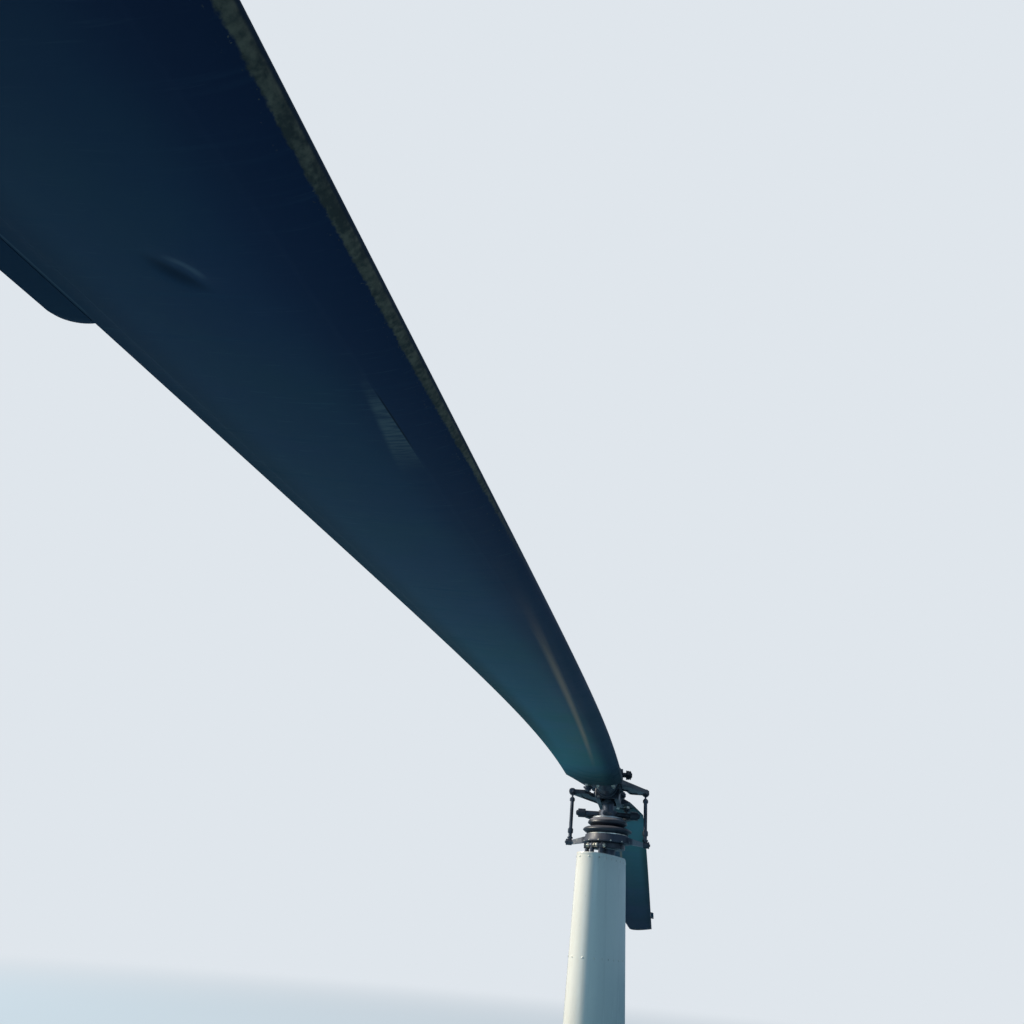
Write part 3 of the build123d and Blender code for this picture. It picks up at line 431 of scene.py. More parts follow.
lug_nuts, rod_nuts = [], []
for rod_turn in ROD_TURNS:
    out, across = outward_at(math.radians(rod_turn))
    for way in (-1, 1):
        seat = ROD_CIRCLE * out + way * LUG_HALF * across + np.array((0, 0, LUG_LEVEL))
        lug_nuts.append(lathe(hex_bolt(*LUG_NUT), seat, way * across))
    for level in (LUG_LEVEL - ROD_NUT_DROP, 0.0):
        rod_nuts.append(lathe(ROD_NUT, ROD_CIRCLE * out + np.array((0, 0, level)), (0, 0, 1)))
piece("lug_nuts", lug_nuts, bright, "carriage")
piece("push_rod_locknuts", rod_nuts, dark_steel, "carriage")


# The upper ring turns with the shaft on a bearing round the lower ring. It is a forging in grey
# enamel; its two arms end in studs for the pitch links, held by nuts and split pins.
def grey_recipe(point):
    """Grey enamel, oily near the bearing, both arms painted lighter as a painted highlight, with
    small chips.
    """
    dust = point.grain(9.0, 5.0).step(0.36, 0.70)
    oil = point.grain(21.0, 3.0).step(0.50, 0.66)
    chip = (point.grain(140.0, 3.0) * point.grain(20.0, 2.0)).step(0.40, 0.43)
    arm_highlight = abs(point.part("Y")).step(0.088, 0.098)
    paint = (0.5 * dust).blend(rgb(0.034, 0.042, 0.066), rgb(0.068, 0.076, 0.104))
    paint = (0.6 * oil).blend(paint, rgb(0.028, 0.031, 0.040))
    # Both arms are painted lighter: a painted highlight of light falling on them.
    paint = (0.7 * arm_highlight).blend(paint, rgb(0.270, 0.275, 0.310))
    return {"Base Color": chip.blend(paint, rgb(0.30, 0.30, 0.29)),
            "Roughness": 0.50 + 0.25 * dust - 0.1 * oil,
            "Height": point.grain(380.0, 2.0) * 0.15 - chip * 0.6}


LINK_X, LINK_Y, LOWER_JOINT_LEVEL = 0.032, 0.139, 0.765
STUD_END, STUD_PIN_AT = 0.1538, 0.1505
STUD_NUT = ((-0.0076, 0.0084, 1), (-0.0074, 0.0104, 1), (-0.0012, 0.0104, 1), (0, 0.0096, 0),
            (0, 0.0046, 0), (0.0026, 0.0044, 0), (0.0032, 0.0038, 0), (0.0032, 0, 0))
STUD_PIN = ((-0.0125, 0, 0), (-0.0125, 0.0010, 0), (0.0125, 0.0010, 0), (0.0125, 0, 0))
RETAINER_REACH, RETAINER_LEVEL, RETAINER_TURN, RETAINER_SCREW = 0.0840, 0.7685, 0.22, 0.0026
dress(finish("grey_enamel", grey_recipe, 0.0004), "upper_swashplate")


def both_ends(part):
    """A grid and its copy half a turn round the mast, which is the same place on blade B."""
    points, faces = part
    return [part, (points * np.array((-1.0, -1.0, 1.0)), faces)]


def on_both(name, parts, material, body, sharp=32.0, node=""):
    """One piece at each end of the rotor, made of grids given for blade A's end."""
    return [piece(f"{name}_{letter}", [both_ends(part)[end] for part in parts], material,
                  f"{body}_{letter}", sharp, (f"{node}_{letter}",) if node else ())
            for end, letter in enumerate("ab")]


stud_nuts = both_ends(lathe(STUD_NUT, (LINK_X, STUD_END, LOWER_JOINT_LEVEL), (0, 1, 0)))
stud_nuts += both_ends(lathe(STUD_PIN, (LINK_X, STUD_PIN_AT, LOWER_JOINT_LEVEL), (0.3, 0, 1), 8))
piece("stud_nuts", stud_nuts, dark_steel, "upper_swash")
retainer_screws = []
for turn in np.arange(12) * np.pi / 6 + RETAINER_TURN:
    out = outward_at(turn)[0]
    seat = RETAINER_REACH * out + np.array((0, 0, RETAINER_LEVEL))
    retainer_screws.append(lathe(round_screw(RETAINER_SCREW), seat, out, 10))
piece("swashplate_retainer_screws", retainer_screws, bright, "upper_swash")


# The drive shaft is a steel tube, dull with oil. A clamped yoke on it carries the hinged fork and
# the short link that turn the upper ring with it; washers and nuts close each joint.
dress(dark_steel, "rotor_shaft", "drive_yoke", "drive_link")
dress(black_paint, "drive_fork")
dress(aluminium, "boot_cap")
YOKE_LEVEL, HINGE_END, HINGE_NUT = 0.867, 0.1145, (0.0068, 0.25)
HINGE_FACE, HINGE_WASHER = 0.1093, (0.0061, 0.0142, 0.0001, 0.0010)
CLAMP_FACE, CLAMP_HALF, CLAMP_BOLT = 0.0335, 0.011, (0.0050, 0.9)
BOOT_CAP_REACH, BOOT_CAP_LEVEL, BOOT_CAP_TURN, BOOT_CAP_SCREW = 0.040, 0.8550, 0.4, 0.0032


def ring_profile(inner, outer, low, high):
    """A washer or collar's outline with softened edges, closed on itself."""
    soft = 0.0006
    return ((low + soft, inner, 0), (low, inner + soft, 0), (low, outer - soft, 0),
            (low + soft, outer, 0), (high - soft, outer, 0), (high, outer - soft, 0),
            (high, inner + soft, 0), (high - soft, inner, 0), (low + soft, inner, 0))


yoke_bits = []
for way in (-1, 1):
    clamp_seat = (CLAMP_FACE, way * CLAMP_HALF, YOKE_LEVEL)
    hinge_seat = (0, way * HINGE_FACE, YOKE_LEVEL)
    yoke_bits += [lathe(hex_bolt(*HINGE_NUT), (0, way * HINGE_END, YOKE_LEVEL), (0, way, 0)),
                  lathe(hex_bolt(*CLAMP_BOLT), clamp_seat, (1, 0, 0)),
                  lathe(ring_profile(*HINGE_WASHER), hinge_seat, (0, way, 0))]
piece("yoke_nuts", yoke_bits, dark_steel, "shaft")
boot_cap_screws = []
for turn in np.arange(6) * np.pi / 3 + BOOT_CAP_TURN:
    seat = BOOT_CAP_REACH * outward_at(turn)[0] + np.array((0, 0, BOOT_CAP_LEVEL))
    boot_cap_screws.append(lathe(round_screw(BOOT_CAP_SCREW), seat, (0, 0, 1), 12))
piece("boot_cap_screws", boot_cap_screws, bright, "shaft")


# The boot is a moulded rubber bellows of two domed folds, clipped round the cap on the shaft and
# round the upper ring.
def rubber_recipe(point):
    """Black rubber with pale bloom, fine mould grain, and dust on its upper faces, mostly the top
    fold's, which is also a painted highlight of light from above."""
    bloom = point.grain(16.0, 6.0).step(0.34, 0.7)
    # Upward faces lighten, mostly on the top fold: partly dust, partly a painted highlight from
    # above.
    up = point.upward().step(0.30, 0.92)
    top = 0.30 + 0.70 * point.part("Z").step(0.824, 0.838)
    dust = (0.07 * bloom + 0.93 * up * top * (0.6 + 0.4 * bloom)).lower(1.0)
    return {"Base Color": dust.blend(rgb(0.008, 0.011, 0.020), rgb(0.34, 0.34, 0.39)),
            "Roughness": 0.42 + 0.3 * dust,
            "Height": point.grain(700.0, 2.0) * 0.3 + bloom}


rubber = finish("black_rubber", rubber_recipe, 0.0003)
# Columns: level and radius where each dome starts, and where it ends at its rim
BOOT_DOMES = ((0.8507, 0.0485, 0.8330, 0.0720), (0.8210, 0.0570, 0.8080, 0.0890))
BOOT_FOOT = (0.7923, 0.0700)
LIP, LIP_DROP, LIP_BACK, BOOT_WALL = 0.0012, 0.0010, 0.0020, 0.0016
MAST_LINE = (0, 0, 0), (0, 0, 1)


def ease(value, low, high):
    """0 below low, 1 above high, and an S-curve between them."""
    share = np.clip((value - low) / (high - low), 0, 1)
    return share * share * (3 - 2 * share)


def boot_outline():
    """Each dome is a quarter ellipse from its crown to its rim, a small round lip, and an S-curve
    back in to the next crown; the same line a wall's thickness inside closes it."""
    share = np.linspace(0, 1, 15)
    starts = [dome[:2] for dome in BOOT_DOMES[1:]] + [BOOT_FOOT]
    levels, radii = [], []
    for (top, crown, base, rim), (next_level, next_radius) in zip(BOOT_DOMES, starts):
        levels += [base + (top - base) * np.cos(share * np.pi / 2),
                   base - LIP * np.sin(share[1:] * np.pi),
                   base - LIP_DROP + (next_level - base + LIP_DROP) * share[1:]]
        radii += [crown + (rim - crown) * np.sin(share * np.pi / 2),
                  rim - LIP * (1 - np.cos(share[1:] * np.pi / 2)),
                  rim - LIP_BACK + (next_radius - rim + LIP_BACK) * ease(share[1:], 0, 1)]
    level, radius = np.concatenate(levels), np.concatenate(radii)
    wall = np.stack((level, radius, level * 0), -1)
    return np.concatenate((wall, wall[::-1] - np.array((0, BOOT_WALL, 0)), wall[:1]))


boot = piece("bellows_boot", [lathe(boot_outline(), *MAST_LINE, 96)], rubber, "shaft",
             60.0, ("swash_boot",))
boot.parent = None
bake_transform(boot)
top_band = ring_profile(0.0486, 0.0508, 0.8440, 0.8495)
foot_band = ring_profile(0.0690, 0.0722, 0.7921, 0.7965)
piece("boot_top_band", [lathe(top_band, *MAST_LINE, 72)], bright, "shaft")
piece("boot_foot_band", [lathe(foot_band, *MAST_LINE, 72)], bright, "upper_swash")


# Each pitch link is a steel rod with an eye screwed into each end, so that its length can be set.
# A hexagon on the rod takes the spanner and two locknuts hold the eyes.
dress(dark_steel, "pitch_link_a", "pitch_link_b")
UPPER_JOINT_LEVEL, EYE_FACE, EYE_WASHER = 0.947, 0.0071, (0.0041, 0.0108, 0, 0.0012)
# At rest the wide upper eye's middle lies this far from the horn's bolt
UPPER_SHIFT = np.array((-0.0015, -0.0017, -0.0010))
link_foot = np.array((LINK_X, LINK_Y, LOWER_JOINT_LEVEL))
link_head = np.array((LINK_X, LINK_Y, UPPER_JOINT_LEVEL)) + UPPER_SHIFT
link_way = (link_head - link_foot) / np.linalg.norm(link_head - link_foot)
# Distance up the rod, and outline, of the lower locknut, the hexagon and the upper locknut
LINK_BITS = ((0.0125, ((0, 0.0050, 1), (0, 0.0088, 1), (0.0056, 0.0088, 1), (0.0062, 0.0082, 0),
                       (0.0062, 0.0050, 1))),
             (0.0300, ((0, 0.0060, 0), (0.0015, 0.0086, 0), (0.0040, 0.0086, 1),
                       (0.0160, 0.0086, 1), (0.0185, 0.0086, 0), (0.0200, 0.0060, 0))),
             (0.1450, ((0, 0.0060, 0), (0.0012, 0.0084, 0), (0.0030, 0.0084, 1),
                       (0.0110, 0.0084, 1), (0.0128, 0.0084, 0), (0.0140, 0.0060, 0))))
link_bits = [lathe(outline, link_foot + at * link_way, link_way) for at, outline in LINK_BITS]
eye_seat = link_foot + np.array((0, EYE_FACE, 0))
link_bits.append(lathe(ring_profile(*EYE_WASHER), eye_seat, (0, 1, 0)))
on_both("pitch_link_nuts", link_bits, dark_steel, "link")


# The hub is a machined steel plate pair on the teeter bolt, painted satin black. Large nuts with
# split pins close the teeter bolt and the two coning bolts.
TEETER_LEVEL, TEETER_FACE, TEETER_PIN_AT = 1.013, 0.0630, 0.0790
HUB_LEVEL, CONING_X, CONING_FACE, CONING_PIN_OUT = 0.950, 0.070, 0.0453, 0.0103
TEETER_NUT, TEETER_PIN = (0.0150, 0.0190), (0.034, 0.0016)
CONING_NUT, CONING_PIN = (0.0128, 0.0122), (0.029, 0.0013)
dress(black_paint, "hub")
dress(dark_steel, "teeter_bolt", "coning_bolts")


def castle_nut(half, depth):
    """Outline of a nut whose outer third is a narrower round crown."""
    return ((0, half * 0.5, 0), (0, half * 1.16, 0), (0.0016, half * 1.16, 0), (0.0018, half, 1),
            (depth * 0.66, half, 1), (depth * 0.70, half * 0.90, 0), (depth, half * 0.88, 0),
            (depth, half * 0.58, 0), (depth + 0.003, half * 0.55, 0),
            (depth + 0.0035, half * 0.48, 0), (depth + 0.0035, 0, 0), (0, 0, 0))


def split_pin(point, along, length, size):
    """A straight pin with rounded ends through a point."""
    half, round_off = length / 2, size * 0.6
    return lathe(((-half, 0, 0), (-half + round_off, size, 0), (half - round_off, size, 0),
                  (half, 0, 0)), point, along, 8)


hub_nuts = []
for way in (-1, 1):
    seat = np.array((0, way * TEETER_FACE, TEETER_LEVEL))
    hub_nuts.append(lathe(castle_nut(*TEETER_NUT), seat, (0, way, 0), 36))
    hub_nuts.append(split_pin((0, way * TEETER_PIN_AT, TEETER_LEVEL), (0.4, 0, 1), *TEETER_PIN))
    for end in (-1, 1):
        seat = np.array((end * CONING_X, way * CONING_FACE, HUB_LEVEL))
        pin_at = seat + np.array((0, way * CONING_PIN_OUT, 0))
        hub_nuts.append(lathe(castle_nut(*CONING_NUT), seat, (0, way, 0), 36))
        hub_nuts.append(split_pin(pin_at, (1, 0, 0.5), *CONING_PIN))
piece("hub_nuts", hub_nuts, dark_steel, "hub")


# Each spindle is a forged steel tongue on its coning bolt, with a collar that rests on the droop
# stop and a shank inside the grip. A ribbed rubber seal closes the gap behind the collar.
dress(dark_steel, "spindle_a", "spindle_b")
SEAL_START, SEAL_END, SEAL_INNER, SEAL_OUTER, SEAL_RIB = 0.1123, 0.1177, 0.0202, 0.0372, 0.0012


def seal_outline():
    """Three round ribs: the outer radius plus a rib's height times |sin 3 pi share| to the 0.6."""
    share = np.linspace(0, 1, 41)
    ribs = np.stack((SEAL_START + (SEAL_END - SEAL_START) * share,
                     SEAL_OUTER + SEAL_RIB * np.abs(np.sin(share * 3 * np.pi)) ** 0.6,
                     share * 0), -1)
    return np.concatenate((((SEAL_START, SEAL_INNER, 0),), ribs,
                           ((SEAL_END, SEAL_INNER, 0), (SEAL_START, SEAL_INNER, 0))))


on_both("ribbed_seal", [lathe(seal_outline(), (0, 0, HUB_LEVEL), (1, 0, 0), 64)], rubber,
        "spindle", 40.0, "root_seal")


# The root grips and pitch horns are forgings painted satin black. Each grip turns on its spindle;
# the horn is bolted to its side, and through bolts in two rows hold the blade's root.
dress(black_paint, "root_grip_a", "root_grip_b", "pitch_horn_a", "pitch_horn_b")
ROTOR_RADIUS, BEND_START = 3.835, 0.060
ROOT_RISE, TIP_DROOP = math.tan(math.radians(0.264)), 0.360
ROOT_PITCH, TIP_TWIST = math.radians(8.16), math.radians(-9.89)
LEADING, TRAILING, ROOT_TRAILING = 0.0624, 0.1206, 0.093
ROOT_START, FULL_CHORD, TAPER_START, TIP_LEADING = 0.2623, 0.415, 3.600, 0.043
THICKNESS, ROOT_THICKNESS = 0.0275, 0.042


def sag(station):
    """Level of the blade's line: a straight rise from the root less a cantilever's droop,
    share squared times (6 - 4 share + share squared) / 3."""
    share = np.clip(station - BEND_START, 0, None) / (ROTOR_RADIUS - BEND_START)
    droop = TIP_DROOP * share ** 2 * (6 - 4 * share + share ** 2) / 3
    return HUB_LEVEL + ROOT_RISE * (station - BEND_START) - droop


def pitch(station):
    """Angle of the section, falling evenly from root to tip."""
    return ROOT_PITCH + TIP_TWIST * station / ROTOR_RADIUS


def blade_point(station, chordwise, normal):
    """Points at distances along the chord, forward of the blade's line, and square to the chord."""
    angle = pitch(station)
    return np.stack((station + 0 * chordwise * normal,
                     chordwise * np.cos(angle) - normal * np.sin(angle),
                     sag(station) + chordwise * np.sin(angle) + normal * np.cos(angle)), -1)


def edges_at(station):
    """Where the leading and trailing edges run, and how thick the section is, at stations."""
    root = np.clip((station - ROOT_START) / (FULL_CHORD - ROOT_START), 0, 1)
    tip = np.clip((station - TAPER_START) / (ROTOR_RADIUS - TAPER_START), 0, 1)
    leading = LEADING + tip * (TIP_LEADING - LEADING)
    trailing = ROOT_TRAILING + root * (TRAILING - ROOT_TRAILING)
    thick = ROOT_THICKNESS + root * (THICKNESS - ROOT_THICKNESS)
    return leading, trailing, thick * (leading + TRAILING) / (LEADING + TRAILING)


def half_section(share):
    """Half thickness over the whole thickness, at shares x of the chord: 5 times (0.2969 root x
    - 0.126 x - 0.3516 x squared + 0.2843 x cubed - 0.1015 x to the fourth)."""
    powers = np.stack((np.sqrt(share), share, share ** 2, share ** 3, share ** 4))
    return 5 * np.tensordot((0.2969, -0.1260, -0.3516, 0.2843, -0.1015), powers, 1)


def on_skin(station, chordwise, side):
    """A point of the blade's upper (1) or under (-1) skin, and the way out of it there."""
    leading, trailing, thick = edges_at(np.float64(station))
    share = (leading - chordwise) / (leading + trailing)
    half = thick * half_section(np.float64(share))
    way = (0, -math.sin(pitch(station)) * side, math.cos(pitch(station)) * side)
    return blade_point(np.float64(station), chordwise, side * half), way


GRIP_SECTION, BOLT_SINK = 0.2625, 0.0014
GRIP_BOLT_STATIONS, GRIP_BOLT_ROWS = (0.205, 0.232, 0.2535), (0.026, -0.026)
HORN_BOLT_STATIONS = (0.135, 0.165, 0.195, 0.225)
HORN_SIDE, HORN_HALF, HORN_EYE_HALF = 0.0505, 0.007, 0.0147
GRIP_BOLT, HORN_BOLT, EYE_BOLT = (0.0058, 0.55), (0.0052, 0.62), (0.0072, 0.60)
grip_bits, horn_bits = [], []
for side in (-1, 1):
    for station in GRIP_BOLT_STATIONS:
        for chordwise in GRIP_BOLT_ROWS:
            seat, way = on_skin(GRIP_SECTION, chordwise, side)
            seat = seat + np.array((station - GRIP_SECTION, 0, 0)) - BOLT_SINK * np.array(way)
            grip_bits.append(lathe(hex_bolt(*GRIP_BOLT), seat, way))
    for station in HORN_BOLT_STATIONS:
        seat = (station, HORN_SIDE, UPPER_JOINT_LEVEL + side * HORN_HALF)
        horn_bits.append(lathe(hex_bolt(*HORN_BOLT), seat, (0, 0, side)))
for way in (-1, 1):
    seat = (LINK_X + way * HORN_EYE_HALF, LINK_Y, UPPER_JOINT_LEVEL)
    horn_bits.append(lathe(hex_bolt(*EYE_BOLT), seat, (way, 0, 0)))
# Under each grip's trailing side a bright bushing carries a dark flange, closed by a nut
TIE_BOLT = (0.232, -0.0590, 0.9360)
TIE_BUSHING = ((0, 0, 0), (0, 0.0110, 0), (0.0110, 0.0110, 0), (0.0110, 0, 0))
TIE_NUT = ((0.0108, 0, 0), (0.0108, 0.0150, 0), (0.0116, 0.0162, 0), (0.0164, 0.0162, 0),
           (0.0172, 0.0154, 0), (0.0172, 0.0096, 1), (0.0238, 0.0096, 1), (0.0248, 0.0088, 0),
           (0.0248, 0.0044, 0), (0.0272, 0.0040, 0), (0.0276, 0.0034, 0), (0.0276, 0, 0))
horn_bits.append(lathe(TIE_NUT, TIE_BOLT, (0, 0, -1)))
grip_bits.append(lathe(TIE_BUSHING, TIE_BOLT, (0, 0, -1)))
on_both("grip_bolts", grip_bits, bright, "blade")
on_both("horn_bolts", horn_bits, dark_steel, "blade")


# Each blade has a stainless spar for its nose with thin skins bonded behind it over honeycomb.
# Stacked doublers stiffen its root, and rain has worn the paint off the outer leading edge.
DENT_AT, DENT_SIZE, DENT_DEPTH = (3.2010, -0.0323), (0.0150, 0.0085), 0.0016
DENT_TURN = math.radians(-34.4)
RUB_EDGE, CRACK_LINE, TAB_BOND = 0.0288, 0.0294, 0.1188
# The bonds behind the spar and at the trailing strip: share of the chord, and half width
BOND_STEPS, BOND_DEPTH = ((0.1825, 0.012), (0.925, 0.006)), 0.0002
# The root doublers: reach along the blade, how far the edge is hollowed out, and thickness
DOUBLERS = ((0.640, 0.16, 0.0008), (0.520, 0.12, 0.0008), (0.420, 0.09, 0.0008))
DOUBLER_EASE, HOLLOW_FROM, HOLLOW_SPAN = 0.005, 0.05, 0.85
# The least half thickness over the whole, which leaves the trailing edge blunt
BLUNT_EDGE = 0.018


def in_dent(station, forward):
    """Places along and across the dent, whose long axis is turned on the blade; 1 is at its rim."""
    x, y = station - DENT_AT[0], forward - DENT_AT[1]
    along, across = DENT_SIZE
    return ((x * math.cos(DENT_TURN) + y * math.sin(DENT_TURN)) * (1 / along),
            (y * math.cos(DENT_TURN) - x * math.sin(DENT_TURN)) * (1 / across))


def skin_height(station, share, side, dented):
    """How far the skin stands off the plain section: steps down at the bonds, steps up onto the
    root doublers, and a dent of depth times e to the minus (along squared + across squared)."""
    height = 0
    for edge, half in BOND_STEPS:
        height = height - BOND_DEPTH * ease(share, edge - half, edge + half)
    for reach, hollow, sheet in DOUBLERS:
        arch = np.sin(np.clip((share - HOLLOW_FROM) / HOLLOW_SPAN, 0, 1) * np.pi)
        edge = reach - hollow * arch
        height = height + sheet * (1 - ease(station, edge - DOUBLER_EASE, edge + DOUBLER_EASE))
    if dented:
        chordwise = LEADING - share * (LEADING + TRAILING)
        along, across = in_dent(station, chordwise)
        height = height - DENT_DEPTH * np.exp(-along * along - across * across) * (side < 0)
    return height * ease(share, 0.0, 0.03) * (1 - ease(share, 0.985, 1.0))


def blade_grid(stations, dented=False):
    """The section carried along the stations: from the trailing edge over the top to the nose and
    back below, its rows at both ends folded flat onto the chord so that the ends close. Columns
    lie closer at the nose, at the bonds and over the dent."""
    bonds = [edge + np.linspace(-half, half, 5) for edge, half in BOND_STEPS]
    share = np.unique(np.concatenate((np.linspace(0, 1, 46) ** 1.7, np.linspace(0, 0.03, 9),
                                      np.linspace(0.44, 0.60, 12), *bonds)))
    share = np.concatenate((share[::-1], share[1:]))[None, :]
    side = np.where(np.arange(share.size) < share.size // 2 + 1, 1.0, -1.0)[None, :]
    rows = np.concatenate((stations[:1], stations, stations[-1:]))[:, None]
    full = np.ones_like(rows)
    full[[0, -1]] = 0
    leading, trailing, thick = edges_at(rows)
    height = skin_height(rows, share, side, dented)
    normal = side * full * (thick * np.maximum(half_section(share), BLUNT_EDGE) + height)
    normal[:, share.size // 2] = 0
    points = blade_point(rows, leading - share * (leading + trailing), normal)
    return points.reshape(-1, 3), sheet_faces(len(rows), share.size)


def mark_blade(thing, flip):
    """Keeps each point's station and its distance forward of the blade's line, for the paint."""
    mesh = thing.data
    points = np.empty(len(mesh.vertices) * 3)
    mesh.vertices.foreach_get("co", points)
    x, y, z = points.reshape(-1, 3).T
    if flip:
        x, y = -x, -y
    forward = y * np.cos(pitch(x)) + (z - sag(x)) * np.sin(pitch(x))
    for name, value in (("station", x), ("forward", forward)):
        marks = mesh.attributes.new(name, "FLOAT", "POINT")
        marks.data.foreach_set("value", value.astype(np.float32))


def blade_recipe(point):
    """Satin paint, blue-green inboard and nearly black outboard on the underside, a painted
    reflection of sky and horizon, and plain dark on top. On it lie streaks across the chord, fine
    scratches, a painted highlight along the spar, an olive trailing margin, a rubbed patch ending
    at a crack by the spar's edge, a dent with a painted highlight on its rim and painted shade in
    its hollow, painted shade towards the root, and a ragged band of bare, weathered metal along the
    outer leading edge."""
    station, forward = point.kept("station"), point.kept("forward")
    on_a = point.part("X").step(0.0, 0.1)
    cloud = point.grain(3.2, 5.0)
    fine = point.grain(46.0, 6.0)
    across = point.stretch((60.0, 2.5, 2.5)).grain(3.0, 4.0).step(0.55, 0.78)
    along = point.stretch((1.6, 70.0, 12.0)).grain(2.0, 4.0).step(0.52, 0.80)
    scratch = point.stretch((420.0, 30.0, 30.0)).grain(1.0, 3.0).step(0.60, 0.74)
    hatch = point.stretch((330.0, 60.0, 60.0)).grain(1.0, 4.0).step(0.34, 0.66)

    # Bare metal: a ragged band along the outer leading edge, and nicks behind it
    ragged = forward + 0.0034 * (fine - 0.5) + 0.0030 * (point.grain(330.0, 3.0) - 0.5)
    edge = 0.0606 - 0.0038 * station.step(2.72, 3.20)
    worn = (ragged - edge).step(-0.0007, 0.0009) * station.step(2.55, 2.95)
    nick = (point.grain(420.0, 2.0) - 0.36).step(0.30, 0.34) * (forward - 0.048).step(0.0, 0.009)
    bare = worn.higher(nick * 0.6)
    pitted = (0.6 * fine + 0.4 * point.grain(260.0, 3.0)).step(0.40, 0.60)
    metal = pitted.blend(rgb(0.165, 0.135, 0.098), rgb(0.058, 0.056, 0.050))
    metal = (forward - 0.0616).step(0.0, 0.0008).blend(metal, rgb(0.010, 0.022, 0.040))

    # Marks in the paint: a painted highlight along the spar, a light line at the tab's bond, a
    # painted highlight and painted shade at the dent, and wear at the spar's edge
    # A painted highlight along the spar, laid on the underside only
    spar_highlight_line = 0.0340 + 0.029 * (station - 2.28)
    streak = abs(forward - spar_highlight_line).fall(0.0, 0.0095) * (0.45 + 0.55 * along)
    streak = streak * station.step(0.5, 1.3) * station.fall(1.9, 2.6)
    lip = abs(forward + TAB_BOND).fall(0.0003, 0.0009) * station.step(3.14, 3.16)
    lengthwise, crosswise = in_dent(station, forward)
    beyond = point.make("CombineXYZ", {}, {0: lengthwise, 1: crosswise}).length()
    # A painted highlight crescent on the dent's rim
    dent_highlight = abs(beyond - 0.95).fall(0.06, 0.50) * (0.4 + 0.6 * fine.step(0.36, 0.60)) * on_a
    dent_highlight = dent_highlight * crosswise.step(0.15, 0.75) * abs(lengthwise).fall(0.25, 0.95)
    # Painted shade in the dent's hollow
    hollow = beyond.fall(0.5, 1.5) * crosswise.fall(-0.4, 0.3) * on_a
    rub = (forward - RUB_EDGE).fall(-0.0006, 0.0003) * station.step(2.93, 3.01)
    rub = rub * (forward - 0.012 - 0.11 * (station - 2.98)).step(-0.002, 0.003) * on_a
    rub = rub * station.fall(3.04, 3.10) * (0.30 + 0.80 * hatch).lower(1.0)
    crack = abs(forward - CRACK_LINE).fall(0.0002, 0.0008) * on_a
    crack = crack * station.step(2.97, 3.01) * station.fall(3.05, 3.08)

    # The underside's colours, lighter inboard: a painted reflection of sky and horizon in the dark
    # paint
    green = cloud.step(0.35, 0.65)
    inner = station.fall(0.2, 3.3)
    outboard = green.blend(rgb(0.0145, 0.0320, 0.0740), rgb(0.0180, 0.0440, 0.0730))
    inboard = green.blend(rgb(0.0330, 0.1350, 0.1680), rgb(0.0430, 0.1570, 0.1520))
    inboard = (0.4 * forward.fall(-0.10, 0.02)).blend(inboard, rgb(0.0600, 0.2300, 0.2700))
    under = inner.blend(outboard, inboard)
    under = (0.8 * forward.step(-0.010, 0.040)).blend(under, rgb(0.0122, 0.0235, 0.0570))
    under = (0.20 * station.step(3.22, 3.42)).blend(under, rgb(0.0140, 0.0040, 0.0100))
    margin = forward.fall(-0.112, -0.078) * (0.45 + 0.35 * inner) * station.step(0.6, 1.6)
    olive = inner.blend(rgb(0.0040, 0.0175, 0.0300), rgb(0.0120, 0.0400, 0.0100))
    under = margin.blend(under, olive)
    under = ((0.06 + 0.26 * inner) * across * fine).blend(under, rgb(0.110, 0.210, 0.270))
    scratched = 0.28 * scratch * cloud * (1.0 - 0.7 * station.step(3.00, 3.20))
    under = scratched.blend(under, rgb(0.120, 0.190, 0.210))
    under = rub.blend(under, rgb(0.080, 0.098, 0.112))
    under = (0.85 * crack).blend(under, rgb(0.003, 0.006, 0.009))

    # The top side's colour, then the marks that lie over both sides, painted shade and highlights
    # among them
    above = point.upward().step(-0.2, 0.2)
    top = green.blend(rgb(0.020, 0.028, 0.040), rgb(0.036, 0.046, 0.056))
    paint = above.blend(under, (0.15 * across * fine).blend(top, rgb(0.120, 0.135, 0.150)))
    # Painted shade in the dent's hollow
    paint = (0.50 * hollow).blend(paint, rgb(0.0030, 0.0080, 0.0160))
    # The painted highlight along the spar
    paint = (0.85 * streak * (1.0 - above)).blend(paint, rgb(0.660, 0.370, 0.210))
    # A light line at the tab's bond, and the dent's painted highlight crescent
    paint = (0.16 * lip + 0.24 * dent_highlight).blend(paint, rgb(0.16, 0.20, 0.23))
    # Painted shade towards the root
    paint = (0.85 * station.fall(0.25, 0.68)).blend(paint, rgb(0.0120, 0.0260, 0.0300))
    return {"Base Color": bare.blend(paint, metal),
            "Roughness": 0.36 + 0.16 * cloud + 0.10 * across + 0.22 * bare,
            "Metallic": 0.45 * bare,
            "Height": point.grain(9.0, 2.0) - worn * 0.2}


blade_paint = finish("blade_paint", blade_recipe, 0.0006, Specular_IOR_Level=0.03)
CAP_START, CAP_GAP = 3.765, 0.0003
# Rows lie closer over the root doublers and over the dent
blade_rows = np.concatenate((np.linspace(ROOT_START, 0.66, 190), np.linspace(0.67, 3.14, 130),
                             np.linspace(3.145, 3.26, 58), np.linspace(3.27, CAP_START, 44)))
cap_rows = np.linspace(CAP_START + CAP_GAP, ROTOR_RADIUS, 15)
for end, letter in enumerate("ab"):
    for name, rows in (("blade", blade_rows), ("tip_cap", cap_rows)):
        grid = both_ends(blade_grid(rows, letter == "a"))[end]
        skin = piece(f"{name}_skin_{letter}", [grid], blade_paint, f"blade_{letter}",
                     50.0, (f"{name}_{letter}",))
        mark_blade(skin, end)


